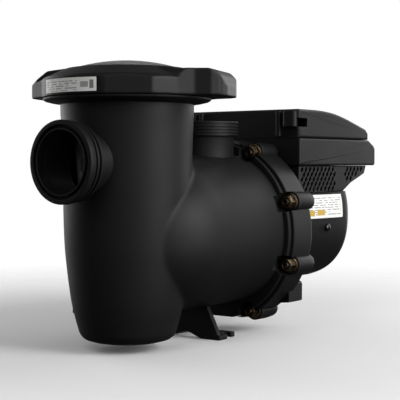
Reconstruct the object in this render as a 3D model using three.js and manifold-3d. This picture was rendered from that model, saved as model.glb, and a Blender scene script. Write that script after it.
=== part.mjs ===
// A pool pump: strainer pot, volute, shaft motor and variable-speed drive, as separate parts.
// Millimetres. +X runs from the suction port to the motor, +Y across, +Z up.
// The design uses x = 0 on the strainer pot's axis, y = 0 on the middle plane and z = 0 under the feet.
// The finished group is shifted along X so that its origin is under the middle of its length.

import * as THREE from 'three';
import { mergeVertices } from 'three/addons/utils/BufferGeometryUtils.js';
import Module from 'manifold-3d';

const wasm = await Module();
wasm.setup();

// ---------- Driving dimensions ----------

const gap = 0.3;                 // clearance between pieces that touch
const shaftZ = 125;              // height of the shaft, volute and flange axis
const suctionZ = 210;            // height of the suction port's axis
const suctionFaceX = -108;
const driveRearX = 415;

const pot = { floorZ: 16, rimZ: 286, rimRadius: 82, collarRadius: 94, collarZ: 274.5, collarTopZ: 280.5 };
const lid = {
  bottomZ: 281, wallTopZ: 300, topZ: 313.5, radius: 95, bore: 62, cavity: 84.5, cavityTopZ: 298.8,
  steppedReach: 122, slopedReach: 107,
};
const lens = {
  flangeRadius: 82, flangeZ: 292.6, flangeTopZ: 298.4, wallRadius: 61, thickness: 4.5, topZ: 323,
  domeRadius: 204,
};
const wingAngle = -71.4;         // plan direction of the lid's stepped wing, in degrees

const port = { neck: 36.5, thread: 43.5, collar: 44.6, bore: 34, lip: 35.8, groove: 39.4, grooveDepth: 5 };
const dischargeX = 141;
const dischargeTopZ = 259;
const dischargeNeck = 37.5;

const barrel = {
  noseX: -55, fullX: 60, rearX: 165, halfWidth: 95, rearHalfWidth: 102.5, rise: 91, rearRise: 98, drop: 89,
};
const voluteCavity = { radius: 83, noseX: -49 };
const flange = {
  radius: 109, frontX: 165, rearX: 186, earX: 181, earRadius: 12, boltRadius: 108.5, flatZ: 19.5,
};
const boltAngles = [20.3, 63.3]; // degrees from the middle plane's normal, repeated in all four quarters
const oRingGroove = { inner: 93.5, outer: 99.7, frontX: 180.8 };
const stud = { radius: 4, frontX: 168, rearX: 214 };
const nut = { acrossFlats: 14.5, height: 9, washerRadius: 10.3, washer: 2 };

const foot = {
  frontX: 106, webThickness: 6.5, rearX: 146, plate: 5.8, outerY: 51, innerY: 21.6, webTopY: 29, webTopZ: 45,
};
const anchorSlot = { frontX: 124, rearX: 136, innerY: 36 };

// The bosses of the two drain plugs, on the +Y side: middle, inner end and face.
const drains = {
  pot: { x: 0, z: 42, insideY: 50, faceY: 72 },
  volute: { x: 112, z: 78, insideY: 66, faceY: 111.24 },
};
const drainBore = 7.5;
const basket = {
  bottomZ: 16.5, topZ: 250, bottomRadius: 40, topRadius: 60.5, wall: 2, rimRadius: 64, slots: 12, earX: 4,
};

const plate = { frontX: 186.3, thickness: 6, rimFrontX: 171, rimRearX: 214, rimRadius: 113, hubRadius: 34 };
const bossRearX = 219;

const shaft = { radius: 8, frontX: 150.8, rearX: 344 };
const impeller = { radius: 60, frontX: 140, backX: 158, discs: 4, hub: 12, eye: 26 };
const motor = {
  frontX: 222, rearX: 338, centreZ: 140, halfWidth: 87.5, halfHeight: 84.5, topZ: 172, wall: 4,
};
const frame = { radius: 60, wall: 3.5, frontX: 222.5, rearX: 320 };
const fan = { x: 331.5, width: 9, radius: 56 };
const fanCoverRearX = 354;
const vent = { frontX: 226, footX: 336, rearX: 398, bottomZ: 172.3, topZ: 205.7, halfWidth: 85, wall: 3.5 };

const drive = { frontX: 220, halfWidth: 90, bottomZ: 206, seamZ: 240, shoulderX: 397, wall: 4 };
const cover = {
  bottomZ: 241.6, topZ: 276, halfWidth: 88.5, flatX: 262, bendX: 342, bendZ: 267, rearZ: 252.7,
};
const panel = { frontX: 232, rearX: 296, halfWidth: 42, floorZ: 261, plateTopZ: 265.5, lidThickness: 3,
  hingeX: 291.5, hingeZ: 273 };
const button = { length: 10, width: 9, height: 5, x: 246, spacing: 17 };
const window = { x: [262, 286], y: [-26, 26], thickness: 1.5 };

// ---------- Looks ----------

function material(colour, roughness, metalness = 0) {
  return new THREE.MeshStandardMaterial({ color: colour, roughness, metalness });
}

const blackPlastic = material(0x151618, 0.5);
const clearPlastic = material(0xc9d0d2, 0.1);
const greyPlastic = material(0x8b9094, 0.55);
const blackRubber = material(0x0b0b0c, 0.85);
const brass = material(0xa98a55, 0.35, 1);
const steel = material(0x9a9da1, 0.3, 1);
const copper = material(0x8c4a2a, 0.4, 1);
const aluminium = material(0xa9adb1, 0.45, 1);
const ceramic = material(0xd8d4c8, 0.4);
const labelPaper = material(0xe8e8e4, 0.6);
const boardGreen = material(0x1d5a34, 0.6);
const darkGlass = material(0x0a0c10, 0.1);
const bluePlastic = material(0x223a66, 0.5);

// ---------- Geometry helpers ----------

// Directions of an outline's own x and y and of its depth, for the three ways of extruding it.
const acrossBasis = [new THREE.Vector3(1, 0, 0), new THREE.Vector3(0, 0, 1), new THREE.Vector3(0, -1, 0)];
const alongBasis = [new THREE.Vector3(0, 1, 0), new THREE.Vector3(0, 0, 1), new THREE.Vector3(1, 0, 0)];
const upBasis = [new THREE.Vector3(1, 0, 0), new THREE.Vector3(0, 1, 0), new THREE.Vector3(0, 0, 1)];

// A closed geometry as a solid that can be joined and cut.
function solid(geometry) {
  const plain = geometry.clone();
  plain.deleteAttribute('normal');
  plain.deleteAttribute('uv');
  const merged = mergeVertices(plain, 1e-4);
  const corners = merged.index.array;
  const triangles = [];
  for (let i = 0; i < corners.length; i += 3) {
    const [a, b, c] = [corners[i], corners[i + 1], corners[i + 2]];
    if (a !== b && b !== c && c !== a) triangles.push(a, b, c);
  }
  const vertProperties = Float32Array.from(merged.attributes.position.array);
  const triVerts = Uint32Array.from(triangles);
  return new wasm.Manifold(new wasm.Mesh({ numProp: 3, vertProperties, triVerts }));
}

// A solid back as a three.js geometry.
function geometryOf(body) {
  const data = body.getMesh();
  const geometry = new THREE.BufferGeometry();
  geometry.setAttribute('position', new THREE.BufferAttribute(data.vertProperties, 3));
  geometry.setIndex(new THREE.BufferAttribute(data.triVerts, 1));
  geometry.computeVertexNormals();
  return geometry;
}

function joined(...bodies) {
  return bodies.reduce((all, body) => all.add(body));
}

function cut(body, ...tools) {
  return tools.reduce((rest, tool) => rest.subtract(tool), body);
}

function signedArea(points) {
  return points.reduce((sum, [x, y], i) => {
    const [nextX, nextY] = points[(i + 1) % points.length];
    return sum + x * nextY - nextX * y;
  }, 0) / 2;
}

// Points of a circular arc, with the angles in degrees.
function arc(centreX, centreY, radius, from, to, steps = 6) {
  return Array.from({ length: steps + 1 }, (_, i) => {
    const angle = THREE.MathUtils.degToRad(from + (to - from) * i / steps);
    return [centreX + radius * Math.cos(angle), centreY + radius * Math.sin(angle)];
  });
}

// Points of a smooth curve through the given points.
function curveThrough(points, steps = 12) {
  const curve = new THREE.SplineCurve(points.map(([x, y]) => new THREE.Vector2(x, y)));
  return curve.getPoints(steps).map((point) => [point.x, point.y]);
}

// A [radius, height] outline turned about a line along Z through (x, y), or along X through (y, z).
function turned(profile, axis, [first, second], sides = 34) {
  const outline = signedArea(profile) < 0 ? [...profile].reverse() : profile;
  const ends = outline.every(([radius]) => radius > 0) ? [...outline, outline[0]] : outline;
  const profilePoints = ends.map(([radius, height]) => new THREE.Vector2(radius, height));
  const geometry = new THREE.LatheGeometry(profilePoints, sides);
  if (axis === 'z') geometry.rotateX(Math.PI / 2).translate(first, second, 0);
  if (axis === 'x') geometry.rotateZ(-Math.PI / 2).translate(0, first, second);
  if (axis === 'y') geometry.translate(first, 0, second);
  return solid(geometry);
}

function rod(axis, place, radius, from, to, sides = 22) {
  return turned([[0, from], [radius, from], [radius, to], [0, to]], axis, place, sides);
}

function tube(axis, place, inner, outer, from, to, sides = 22) {
  return turned([[inner, from], [outer, from], [outer, to], [inner, to]], axis, place, sides);
}

function shapeOf(points) {
  return new THREE.Shape(points.map(([x, y]) => new THREE.Vector2(x, y)));
}

// An outline extruded along its basis from one depth to another, with rounded edges where bevel is given.
function extruded(points, basis, from, to, bevel = 0) {
  const geometry = new THREE.ExtrudeGeometry(shapeOf(points), {
    depth: to - from - 2 * bevel,
    bevelEnabled: bevel > 0,
    bevelThickness: bevel,
    bevelSize: bevel,
    bevelOffset: -bevel,
    bevelSegments: 2,
  });
  geometry.translate(0, 0, from + bevel);
  geometry.applyMatrix4(new THREE.Matrix4().makeBasis(...basis));
  return solid(geometry);
}

function box(x, y, z) {
  const geometry = new THREE.BoxGeometry(x[1] - x[0], y[1] - y[0], z[1] - z[0]);
  geometry.translate((x[0] + x[1]) / 2, (y[0] + y[1]) / 2, (z[0] + z[1]) / 2);
  return solid(geometry);
}

// A rectangle with rounded corners, from its corner coordinates.
function roundedRectangle(x, y, radius, steps = 3) {
  return [
    ...arc(x[1] - radius, y[0] + radius, radius, -90, 0, steps),
    ...arc(x[1] - radius, y[1] - radius, radius, 0, 90, steps),
    ...arc(x[0] + radius, y[1] - radius, radius, 90, 180, steps),
    ...arc(x[0] + radius, y[0] + radius, radius, 180, 270, steps),
  ];
}

// A solid through cross-sections along X, each { x, points } with points running from +Y towards +Z.
function lofted(sections) {
  const count = sections[0].points.length;
  const positions = sections.flatMap(({ x, points }) => points.flatMap(([y, z]) => [x, y, z]));
  const index = [];
  for (let s = 0; s < sections.length - 1; s += 1) {
    for (let i = 0; i < count; i += 1) {
      const next = (i + 1) % count;
      const [a, d, b, c] = [s * count + i, s * count + next, (s + 1) * count + i, (s + 1) * count + next];
      index.push(a, d, b, d, c, b);
    }
  }
  const last = (sections.length - 1) * count;
  for (let i = 1; i < count - 1; i += 1) {
    index.push(0, i + 1, i);
    index.push(last, last + i, last + i + 1);
  }
  const geometry = new THREE.BufferGeometry();
  geometry.setAttribute('position', new THREE.Float32BufferAttribute(positions, 3));
  geometry.setIndex(index);
  return solid(geometry);
}

function superellipse(centreZ, halfWidth, halfHeight, power = 2.3, count = 28) {
  return Array.from({ length: count }, (_, i) => {
    const angle = 2 * Math.PI * i / count;
    const bent = (value) => Math.sign(value) * Math.abs(value) ** (2 / power);
    return [halfWidth * bent(Math.cos(angle)), centreZ + halfHeight * bent(Math.sin(angle))];
  });
}

// The eight bolt positions on the flange, each [y, z].
const quarter = [...boltAngles, ...boltAngles.map((angle) => 180 - angle).reverse()];
const boltPlaces = [...quarter, ...quarter.map((angle) => angle + 180)].map((degrees) => {
  const angle = THREE.MathUtils.degToRad(degrees);
  return [flange.boltRadius * Math.cos(angle), shaftZ + flange.boltRadius * Math.sin(angle)];
});

const shaftLine = [0, shaftZ];
const potLine = [0, 0];

// Everything below the flat that lets the flange clear the ground.
const belowFlat = box([150, 230], [-60, 60], [-10, flange.flatZ]);

// ---------- Strainer housing ----------

function potOutside() {
  const base = [[0, 8.5], [38, 9.5], [50, 13], [54.5, 19]];
  const side = curveThrough([[54.5, 19], [62.6, 51], [68.2, 92], [71.2, 132], [72.8, 220], [74.6, 276]], 6);
  const collar = [
    [pot.collarRadius - 1, pot.collarZ + 1.5],
    [pot.collarRadius, pot.collarTopZ],
    [pot.rimRadius, pot.collarTopZ],
    [pot.rimRadius, pot.rimZ],
    [0, pot.rimZ],
  ];
  return turned([...base, ...side.slice(1), ...collar], 'z', potLine, 32);
}

function potInside() {
  const side = [[50, 24], [57.8, 51], [63.7, 92], [67, 140], [67, 300]];
  return turned([[0, pot.floorZ], [42, pot.floorZ], ...side, [0, 300]], 'z', potLine, 22);
}

// The volute's barrel: a long rounded nose that widens towards the flange and is flatter below than above.
function barrelSection(x) {
  const nose = Math.min(1, Math.max(0, (barrel.fullX - x) / (barrel.fullX - barrel.noseX)));
  const swell = Math.max(0, (x - barrel.fullX) / (barrel.rearX - barrel.fullX));
  const size = Math.sqrt(1 - nose * nose);
  const halfWidth = size * THREE.MathUtils.lerp(barrel.halfWidth, barrel.rearHalfWidth, swell);
  const rise = size * THREE.MathUtils.lerp(barrel.rise, barrel.rearRise, swell);
  const points = superellipse(shaftZ, halfWidth, 1, 2.15, 32).map(([y, z]) => (
    [y, shaftZ + (z - shaftZ) * (z > shaftZ ? rise : size * barrel.drop)]
  ));
  return { x, points };
}

function barrelOutside() {
  const tip = barrel.noseX + 0.5;
  const noseXs = [0.04, 0.16, 0.36, 0.64, 1].map((share) => tip + share * (barrel.fullX - tip));
  return lofted([tip, ...noseXs, 112, barrel.rearX].map(barrelSection));
}

function voluteInside() {
  const steps = 7;
  const { radius, noseX } = voluteCavity;
  const nose = Array.from({ length: steps + 1 }, (_, i) => {
    const angle = Math.PI / 2 * i / steps;
    return [radius * Math.sin(angle), barrel.fullX - (barrel.fullX - noseX) * Math.cos(angle)];
  });
  nose[0][0] = 0;
  return turned([...nose, [radius, 190], [0, 190]], 'x', shaftLine, 22);
}

function threadRings(bottom, ringCount, pitch, crest, root) {
  return Array.from({ length: ringCount }, (_, i) => {
    const start = bottom + i * pitch;
    return [[crest, start], [crest, start + pitch * 0.6], [root, start + pitch * 0.6], [root, start + pitch]];
  }).flat();
}

// A union port's outside, from its root to its face, as [radius, distance] with the face at zero.
function portOutside(neck, root) {
  const rings = threadRings(-24, 2, 6.9, port.thread - 0.5, port.thread - 2.5);
  return [
    [0, root], [neck, root], [neck, -25], ...rings,
    [port.collar, -9.5], [port.collar, -1], [port.collar - 1, 0], [port.groove, 0],
    [port.groove, -port.grooveDepth], [port.lip, -port.grooveDepth], [port.lip, 0], [0, 0],
  ];
}

function threadedPort() {
  const rings = threadRings(-17, 3, 5.2, port.thread, port.thread - 1.8);
  return [
    [0, -55], [dischargeNeck, -55], [dischargeNeck, -17.4], ...rings,
    [port.thread - 1.5, 0], [port.groove, 0], [port.groove, -port.grooveDepth],
    [port.lip, -port.grooveDepth], [port.lip, 0], [0, 0],
  ];
}

function shiftedProfile(profile, place, direction) {
  return profile.map(([radius, distance]) => [radius, place + direction * distance]);
}

function feet() {
  const arch = [[-foot.innerY, 0], [-9, 5], [0, 7.5], [9, 5], [foot.innerY, 0]];
  const web = [
    [-foot.outerY, 0], ...arch, [foot.outerY, 0],
    [foot.webTopY, foot.webTopZ], [-foot.webTopY, foot.webTopZ],
  ];
  const webPlate = extruded(web, alongBasis, foot.frontX, foot.frontX + foot.webThickness);
  const plates = [-1, 1].map((side) => {
    const outline = [
      [foot.frontX, side * foot.innerY], [foot.frontX, side * foot.outerY],
      [anchorSlot.frontX, side * 49.5], [anchorSlot.frontX, side * anchorSlot.innerY],
      [anchorSlot.rearX, side * anchorSlot.innerY], [anchorSlot.rearX, side * 46.5],
      [foot.rearX, side * 45], [foot.rearX, side * foot.innerY],
    ];
    return extruded(outline, upBasis, 0, foot.plate);
  });
  return joined(webPlate, ...plates);
}

function strainerHousing() {
  const saddle = [[-70, 150], [-68, 187], [-38, 213.5], [38, 213.5], [68, 187], [70, 150]];
  const ears = boltPlaces.map((place) => rod('x', place, flange.earRadius, flange.earX, flange.rearX, 10));
  const pockets = boltPlaces.map((place) => rod('x', place, flange.earRadius, 156, flange.earX, 10));
  const studHoles = boltPlaces.map((place) => rod('x', place, stud.radius + gap, 170, flange.rearX + 4, 8));
  const bosses = Object.values(drains).map(({ x, z, insideY, faceY }) => (
    rod('y', [x, z], 12, insideY, faceY, 10)
  ));
  const drainHoles = Object.values(drains).map(({ x, z, faceY }) => (
    rod('y', [x, z], drainBore, 40, faceY + 1, 12)
  ));
  const outsideOfPot = potOutside();
  const wetOutside = joined(
    barrelOutside(),
    extruded(saddle, alongBasis, 45, barrel.rearX),
    cut(rod('x', shaftLine, flange.radius, flange.frontX, flange.rearX, 34), belowFlat),
    turned(shiftedProfile(portOutside(port.neck, -60), suctionFaceX, -1), 'x', [0, suctionZ], 24),
    turned(shiftedProfile(threadedPort(), dischargeTopZ, 1), 'z', [dischargeX, 0], 24),
    feet(),
    ...bosses,
  );
  const outside = joined(cut(wetOutside, ...pockets), outsideOfPot, ...ears);
  return cut(
    outside,
    cut(voluteInside(), outsideOfPot),
    potInside(),
    rod('x', [0, suctionZ], port.bore - 2, suctionFaceX + 12, -40, 18),
    rod('x', [0, suctionZ], port.bore, suctionFaceX - 1, suctionFaceX + 13, 18),
    rod('z', [dischargeX, 0], 29, 190, dischargeTopZ + 1, 18),
    rod('z', [dischargeX, 0], port.bore, dischargeTopZ - 14, dischargeTopZ + 1, 18),
    rod('x', shaftLine, 32, 50, 90, 14),
    tube('x', shaftLine, oRingGroove.inner, oRingGroove.outer, oRingGroove.frontX, flange.rearX + 4, 34),
    ...studHoles,
    ...drainHoles,
  );
}

// ---------- Lid ----------

function wing(halfWidth, reach, side) {
  const corner = 14;
  const plan = [
    [0, -halfWidth - 14], [70, -halfWidth - 10], [88, -halfWidth],
    ...arc(reach - corner, corner - halfWidth + 4, corner, -80, 0, 3),
    ...arc(reach - corner, halfWidth - 4 - corner, corner, 0, 80, 3),
    [88, halfWidth], [70, halfWidth + 10], [0, halfWidth + 14],
  ];
  return extruded(plan, upBasis, lid.bottomZ, lens.topZ)
    .intersect(extruded(side, acrossBasis, -80, 80));
}

function lidRing() {
  const { bottomZ, steppedReach, slopedReach } = lid;
  const steppedSide = [
    [0, bottomZ], [steppedReach - 1, bottomZ], [steppedReach, 292],
    ...arc(steppedReach - 16, 294, 16, 10, 90, 4).slice(1),
    [78, 310], [62, lid.topZ], [0, lid.topZ],
  ];
  const slopedSide = [
    [0, bottomZ], [slopedReach - 1, bottomZ], [slopedReach, 290], [slopedReach - 4, 297], [93, 303],
    [80, 312], [62, 315.5], [0, 315.5],
  ];
  const body = turned([
    [lid.bore, bottomZ], [lid.radius, bottomZ], [lid.radius, lid.wallTopZ],
    [lid.radius - 3, lid.wallTopZ + 3.5], [lid.bore + 6, lid.topZ], [lid.bore, lid.topZ - 2],
  ], 'z', potLine, 34);
  const wings = joined(wing(40, steppedReach, steppedSide), turnedHalf(wing(40, slopedReach, slopedSide)));
  const inside = turned([
    [0, 270], [lid.cavity, 270], [lid.cavity, lid.cavityTopZ], [lid.bore, lid.cavityTopZ],
    [lid.bore, 330], [0, 330],
  ], 'z', potLine, 32);
  return cut(joined(body, wings), inside);
}

// The same solid turned by half a turn about Z.
function turnedHalf(body) {
  return solid(geometryOf(body).rotateZ(Math.PI));
}

function domeHeight(radius) {
  return lens.topZ - radius * radius / (2 * lens.domeRadius);
}

function lidLens() {
  const { thickness } = lens;
  const radii = [0, 20, 40, 54, lens.wallRadius - 1];
  const outside = radii.map((radius) => [radius, domeHeight(radius)]).reverse();
  const inside = radii.slice(0, -1).map((radius) => [radius, domeHeight(radius) - thickness]);
  return turned([
    ...inside,
    [lens.wallRadius - thickness, lens.flangeZ],
    [lens.flangeRadius, lens.flangeZ], [lens.flangeRadius, lens.flangeTopZ],
    [lens.wallRadius, lens.flangeTopZ], [lens.wallRadius, domeHeight(lens.wallRadius) - 1],
    ...outside,
  ], 'z', potLine, 28);
}

function lidLabel() {
  const [inner, outer, from, to] = [lid.radius + gap, lid.radius + 0.8, 154.5, 201.5];
  const band = [...arc(0, 0, outer, from, to, 12), ...arc(0, 0, inner, to, from, 12)];
  return extruded(band, upBasis, 283.5, 299);
}

function ring(axis, place, height, radius, thickness, sides = 28, around = 6) {
  const section = arc(radius, height, thickness, 0, 360, around).slice(0, -1);
  return turned(section, axis, place, sides);
}

// ---------- Strainer basket ----------

function strainerBasket() {
  const { bottomZ, topZ, bottomRadius, topRadius, wall, rimRadius } = basket;
  const shell = turned([
    [0, bottomZ], [bottomRadius, bottomZ], [topRadius, topZ - 5], [rimRadius, topZ - 5], [rimRadius, topZ],
    [topRadius - wall, topZ], [bottomRadius - wall, bottomZ + wall], [0, bottomZ + wall],
  ], 'z', potLine, 28);
  const slots = [];
  for (const middleZ of [84, 150]) {
    for (let i = 0; i < basket.slots; i += 1) {
      const slot = new THREE.BoxGeometry(30, 9, 54);
      slot.translate(55, 0, middleZ).rotateZ(2 * Math.PI * (i + 0.5) / basket.slots);
      slots.push(solid(slot));
    }
  }
  const inlet = rod('x', [0, suctionZ], 27, -80, -40, 10);
  const ears = [-1, 1].map((side) => (
    box([-basket.earX, basket.earX], side < 0 ? [-63, -58.8] : [58.8, 63], [topZ - 3, topZ + 7])
  ));
  return joined(cut(shell, ...slots, inlet), ...ears);
}

function basketHandle() {
  const outer = { reach: 40, halfSpan: 56 };
  const path = new THREE.CatmullRomCurve3([
    new THREE.Vector3(0, -outer.halfSpan, 0), new THREE.Vector3(22, -46, 0),
    new THREE.Vector3(outer.reach, 0, 0),
    new THREE.Vector3(22, 46, 0), new THREE.Vector3(0, outer.halfSpan, 0),
  ]);
  const section = shapeOf(arc(0, 0, 2.2, 0, 300, 5));
  const geometry = new THREE.ExtrudeGeometry(section, { steps: 14, extrudePath: path });
  return solid(geometry.translate(0, 0, basket.topZ + 3));
}

// ---------- Impeller, diffuser and seal ----------

function impellerVane(start) {
  const { radius, frontX, backX } = impeller;
  const half = 1.2;
  const steps = 3;
  const spine = Array.from({ length: steps + 1 }, (_, k) => {
    const distance = 20 + (radius - 21) * k / steps;
    const angle = THREE.MathUtils.degToRad(start + 24 * k);
    return [distance * Math.cos(angle), shaftZ + distance * Math.sin(angle), angle];
  });
  const face = spine.map(([y, z, angle]) => [y - half * Math.sin(angle), z + half * Math.cos(angle)]);
  const back = spine.map(([y, z, angle]) => [y + half * Math.sin(angle), z - half * Math.cos(angle)]);
  return extruded([...back, ...face.reverse()], alongBasis, frontX + 1, backX + 1);
}

function impellerBody() {
  const { radius, frontX, backX, discs, hub, eye } = impeller;
  const vanes = Array.from({ length: 6 }, (_, i) => impellerVane(60 * i));
  return joined(
    tube('x', shaftLine, eye - 4, radius, frontX, frontX + discs, 22),
    tube('x', shaftLine, eye - 4, eye, 128, frontX + 1, 12),
    tube('x', shaftLine, shaft.radius + gap, radius, backX, backX + discs, 22),
    tube('x', shaftLine, shaft.radius + gap, hub + 9, 150, backX + 1, 12),
    tube('x', shaftLine, 4, hub, 146, 150.5, 10),
    ...vanes,
  );
}

function impellerScrew() {
  const head = rod('x', shaftLine, 8, 140.5, 145.6, 6);
  return joined(head, rod('x', shaftLine, 3.5, 145, 149.7, 10));
}

function diffuser() {
  const shell = turned([
    [27.5, 68], [30.5, 68], [30.5, 116], [80, 124], [80, 176], [77, 176], [77, 127], [30.5, 119], [30.5, 134],
    [27.5, 134],
  ], 'x', shaftLine, 22);
  const vents = Array.from({ length: 8 }, (_, i) => {
    const window = new THREE.BoxGeometry(24, 16, 26);
    window.translate(158, 0, 78).rotateX(2 * Math.PI * i / 8).translate(0, 0, shaftZ);
    return solid(window);
  });
  return cut(shell, ...vents);
}

function shaftSealRing() {
  const profile = [[8.3, 163], [13, 163], [11, 168], [11, 174], [15, 175], [15, 179.5], [8.3, 179.5]];
  return turned(profile, 'x', shaftLine, 12);
}

function shaftSealSeat() {
  return tube('x', shaftLine, 9.5, 15.5, 179.8, 187, 12);
}

// ---------- Seal plate ----------

function sealPlate() {
  const { frontX, thickness, rimFrontX, rimRearX, rimRadius, hubRadius } = plate;
  const backX = frontX + thickness;
  const rim = turned([
    [flange.radius + 0.6, rimFrontX], [rimRadius - 0.8, rimFrontX], [rimRadius, rimFrontX + 0.8],
    [rimRadius, rimRearX - 3], [rimRadius - 3, rimRearX], [rimRadius - 7, rimRearX],
    [rimRadius - 7, frontX + 1], [flange.radius + 0.6, frontX],
  ], 'x', shaftLine, 34);
  const earNotches = boltPlaces.map((place) => rod('x', place, flange.earRadius + 0.5, 160, frontX, 10));
  const bolts = boltPlaces.map((place) => turned([
    [0, frontX], [flange.earRadius, frontX], [10.5, bossRearX], [0, bossRearX],
  ], 'x', place, 12));
  const studHoles = boltPlaces.map((place) => rod('x', place, stud.radius + gap, 170, stud.rearX + 1, 8));
  const ribs = Array.from({ length: 4 }, (_, i) => {
    const rib = new THREE.BoxGeometry(18, 5, 204);
    rib.translate(backX + 8, 0, 0).rotateX(Math.PI * i / 4).translate(0, 0, shaftZ);
    return solid(rib);
  });
  const lugs = [-1, 1].map((side) => {
    const outline = [[side * 56, 44], [side * 62, 36], [side * 86, 38], [side * 86, 61], [side * 74, 66]];
    return extruded(outline, alongBasis, 202, 233);
  });
  const body = joined(
    cut(rim, belowFlat, ...earNotches),
    cut(rod('x', shaftLine, rimRadius - 6, frontX, backX, 34), belowFlat),
    rod('x', shaftLine, 22, 181, frontX + 1, 12),
    rod('x', shaftLine, hubRadius, frontX, rimRearX, 14),
    ...ribs, ...bolts, ...lugs,
  );
  return cut(
    body,
    rod('z', [dischargeX, 0], port.collar + 1, 228, 260, 28),
    rod('x', shaftLine, shaft.radius + 1.5, 170, 230, 12),
    rod('x', shaftLine, 16, 179, 187.5, 12),
    rod('x', shaftLine, 20.3, 204, 230, 14),
    ...studHoles,
  );
}

function flangeNut([y, z]) {
  const seatX = flange.earX - gap;
  const topX = seatX - nut.washer - nut.height;
  const hexRadius = nut.acrossFlats / Math.sqrt(3);
  const hex = turned([
    [0, topX], [hexRadius, topX], [hexRadius, seatX - 1], [0, seatX - 1],
  ], 'x', [y, z], 6);
  const washer = rod('x', [y, z], nut.washerRadius, seatX - nut.washer, seatX, 10);
  return cut(joined(hex, washer), rod('x', [y, z], stud.radius + gap, topX - 1, seatX + 1, 8));
}

function flangeStud([y, z]) {
  return rod('x', [y, z], stud.radius, stud.frontX, stud.rearX, 8);
}

// ---------- Motor ----------

function motorShaft() {
  return turned([
    [0, shaft.frontX], [shaft.radius - 1, shaft.frontX], [shaft.radius, shaft.frontX + 1],
    [shaft.radius, shaft.rearX], [0, shaft.rearX],
  ], 'x', shaftLine, 14);
}

function bearing(x, inner, outer, width) {
  const middle = (inner + outer) / 2;
  return turned([
    [inner, x], [middle - 2, x], [middle, x + 1.5], [middle + 2, x], [outer, x],
    [outer, x + width], [inner, x + width],
  ], 'x', shaftLine, 14);
}

function stator() {
  return turned([
    [30.8, 248], [38, 236], [49, 236], [51, 248], [56.2, 248], [56.2, 302], [51, 302], [49, 312], [38, 312],
    [30.8, 302],
  ], 'x', shaftLine, 22);
}

function motorFrame() {
  const { radius, wall, frontX, rearX } = frame;
  const inner = radius - wall;
  return turned([
    [inner, frontX], [radius, frontX], [radius, rearX], [24, rearX], [24, rearX + 9], [18, rearX + 9],
    [18, rearX - 3], [inner, rearX - 4],
  ], 'x', shaftLine, 22);
}

function shellSection(x, inset, extra = 0) {
  const widening = THREE.MathUtils.smoothstep(x, motor.frontX, motor.rearX);
  const halfWidth = motor.halfWidth - 6 * (1 - widening) - inset;
  const halfHeight = motor.halfHeight - 4 * (1 - widening) - inset;
  const points = superellipse(motor.centreZ, halfWidth, halfHeight);
  return { x: x + extra, points };
}

const shellXs = [motor.frontX, 260, 300, motor.rearX];

// The motor shell's outer form, grown or shrunk by an inset.
function shellForm(inset, reach = 0) {
  const sections = shellXs.map((x) => shellSection(x, inset));
  sections[0].x -= reach;
  sections[sections.length - 1].x += reach;
  return lofted(sections);
}

function above(z) {
  return box([150, 450], [-150, 150], [z, z + 200]);
}

function motorShell() {
  const hollow = shellForm(motor.wall, 2);
  const throat = box([motor.frontX + 4, motor.rearX + 5], [-78, 78], [150, 200]);
  return cut(shellForm(0), hollow, throat, above(motor.topZ));
}

function ratingLabel() {
  const window = box([249, 330], [-100, -60], [138, 169]);
  return window.intersect(cut(shellForm(-0.8, 1), shellForm(-gap, 3)));
}

function groundScrew() {
  const [x, z] = [294, 126];
  const head = turned([[0, -85.8], [5, -85.8], [4.4, -88.4], [0, -89.1]], 'y', [x, z], 10);
  const slot = box([x - 6, x + 6], [-95, -88], [z - 0.6, z + 0.6]);
  return cut(head, slot);
}

function coolingFan() {
  const blades = Array.from({ length: 7 }, (_, i) => {
    const blade = new THREE.BoxGeometry(2, 12, fan.radius - 18);
    blade.rotateZ(0.7).translate(fan.x + fan.width / 2, 0, (fan.radius + 14) / 2);
    blade.rotateX(2 * Math.PI * i / 7).translate(0, 0, shaftZ);
    return solid(blade);
  });
  return joined(tube('x', shaftLine, shaft.radius + gap, 18, fan.x, fan.x + fan.width, 12), ...blades);
}

function fanCover() {
  const frontX = motor.rearX + gap;
  const outline = (x, inset) => ({
    x, points: superellipse(motor.centreZ, motor.halfWidth - inset, motor.halfHeight - inset),
  });
  const outside = lofted([
    outline(frontX, 0), outline(345, 1), outline(350.5, 5), outline(fanCoverRearX, 12),
  ]);
  const inside = lofted([
    outline(frontX - 1, 3.5), outline(344, 4), outline(348, 7), outline(fanCoverRearX - 3, 13),
  ]);
  const slots = Array.from({ length: 9 }, (_, i) => {
    const z = 84 + 10 * i;
    const half = 50 - Math.abs(i - 4) * 4;
    return box([fanCoverRearX - 5, fanCoverRearX + 1], [-half, half], [z, z + 4.5]);
  });
  return cut(outside, inside, above(motor.topZ), ...slots);
}

// ---------- Vent shroud and heat sink ----------

function ventShroud() {
  const { frontX, footX, rearX, bottomZ, topZ, halfWidth, wall } = vent;
  const outside = [
    [frontX, bottomZ], [footX, bottomZ], [357, 183], [rearX - 5, 195], [rearX, topZ], [frontX, topZ],
  ];
  const inside = [
    [frontX + wall, bottomZ - 1], [footX - 8, bottomZ - 1], [footX - 8, bottomZ + wall], [351, 187],
    [rearX - 8, 199], [rearX - 5, topZ + 1], [frontX + wall, topZ + 1],
  ];
  const slots = [];
  for (let x = 240; x < 372; x += 12) {
    if (x > 313 && x < 344) continue;
    const slot = new THREE.BoxGeometry(3.5, 200, 13);
    slot.rotateY(0.6).translate(x, 0, x < 340 ? 190 : 198);
    slots.push(solid(slot));
  }
  return cut(
    extruded(outside, acrossBasis, -halfWidth, halfWidth),
    extruded(inside, acrossBasis, wall - halfWidth, halfWidth - wall),
    rod('x', shaftLine, frame.radius + 1, 220, 345, 32),
    ...slots,
  );
}

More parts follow.
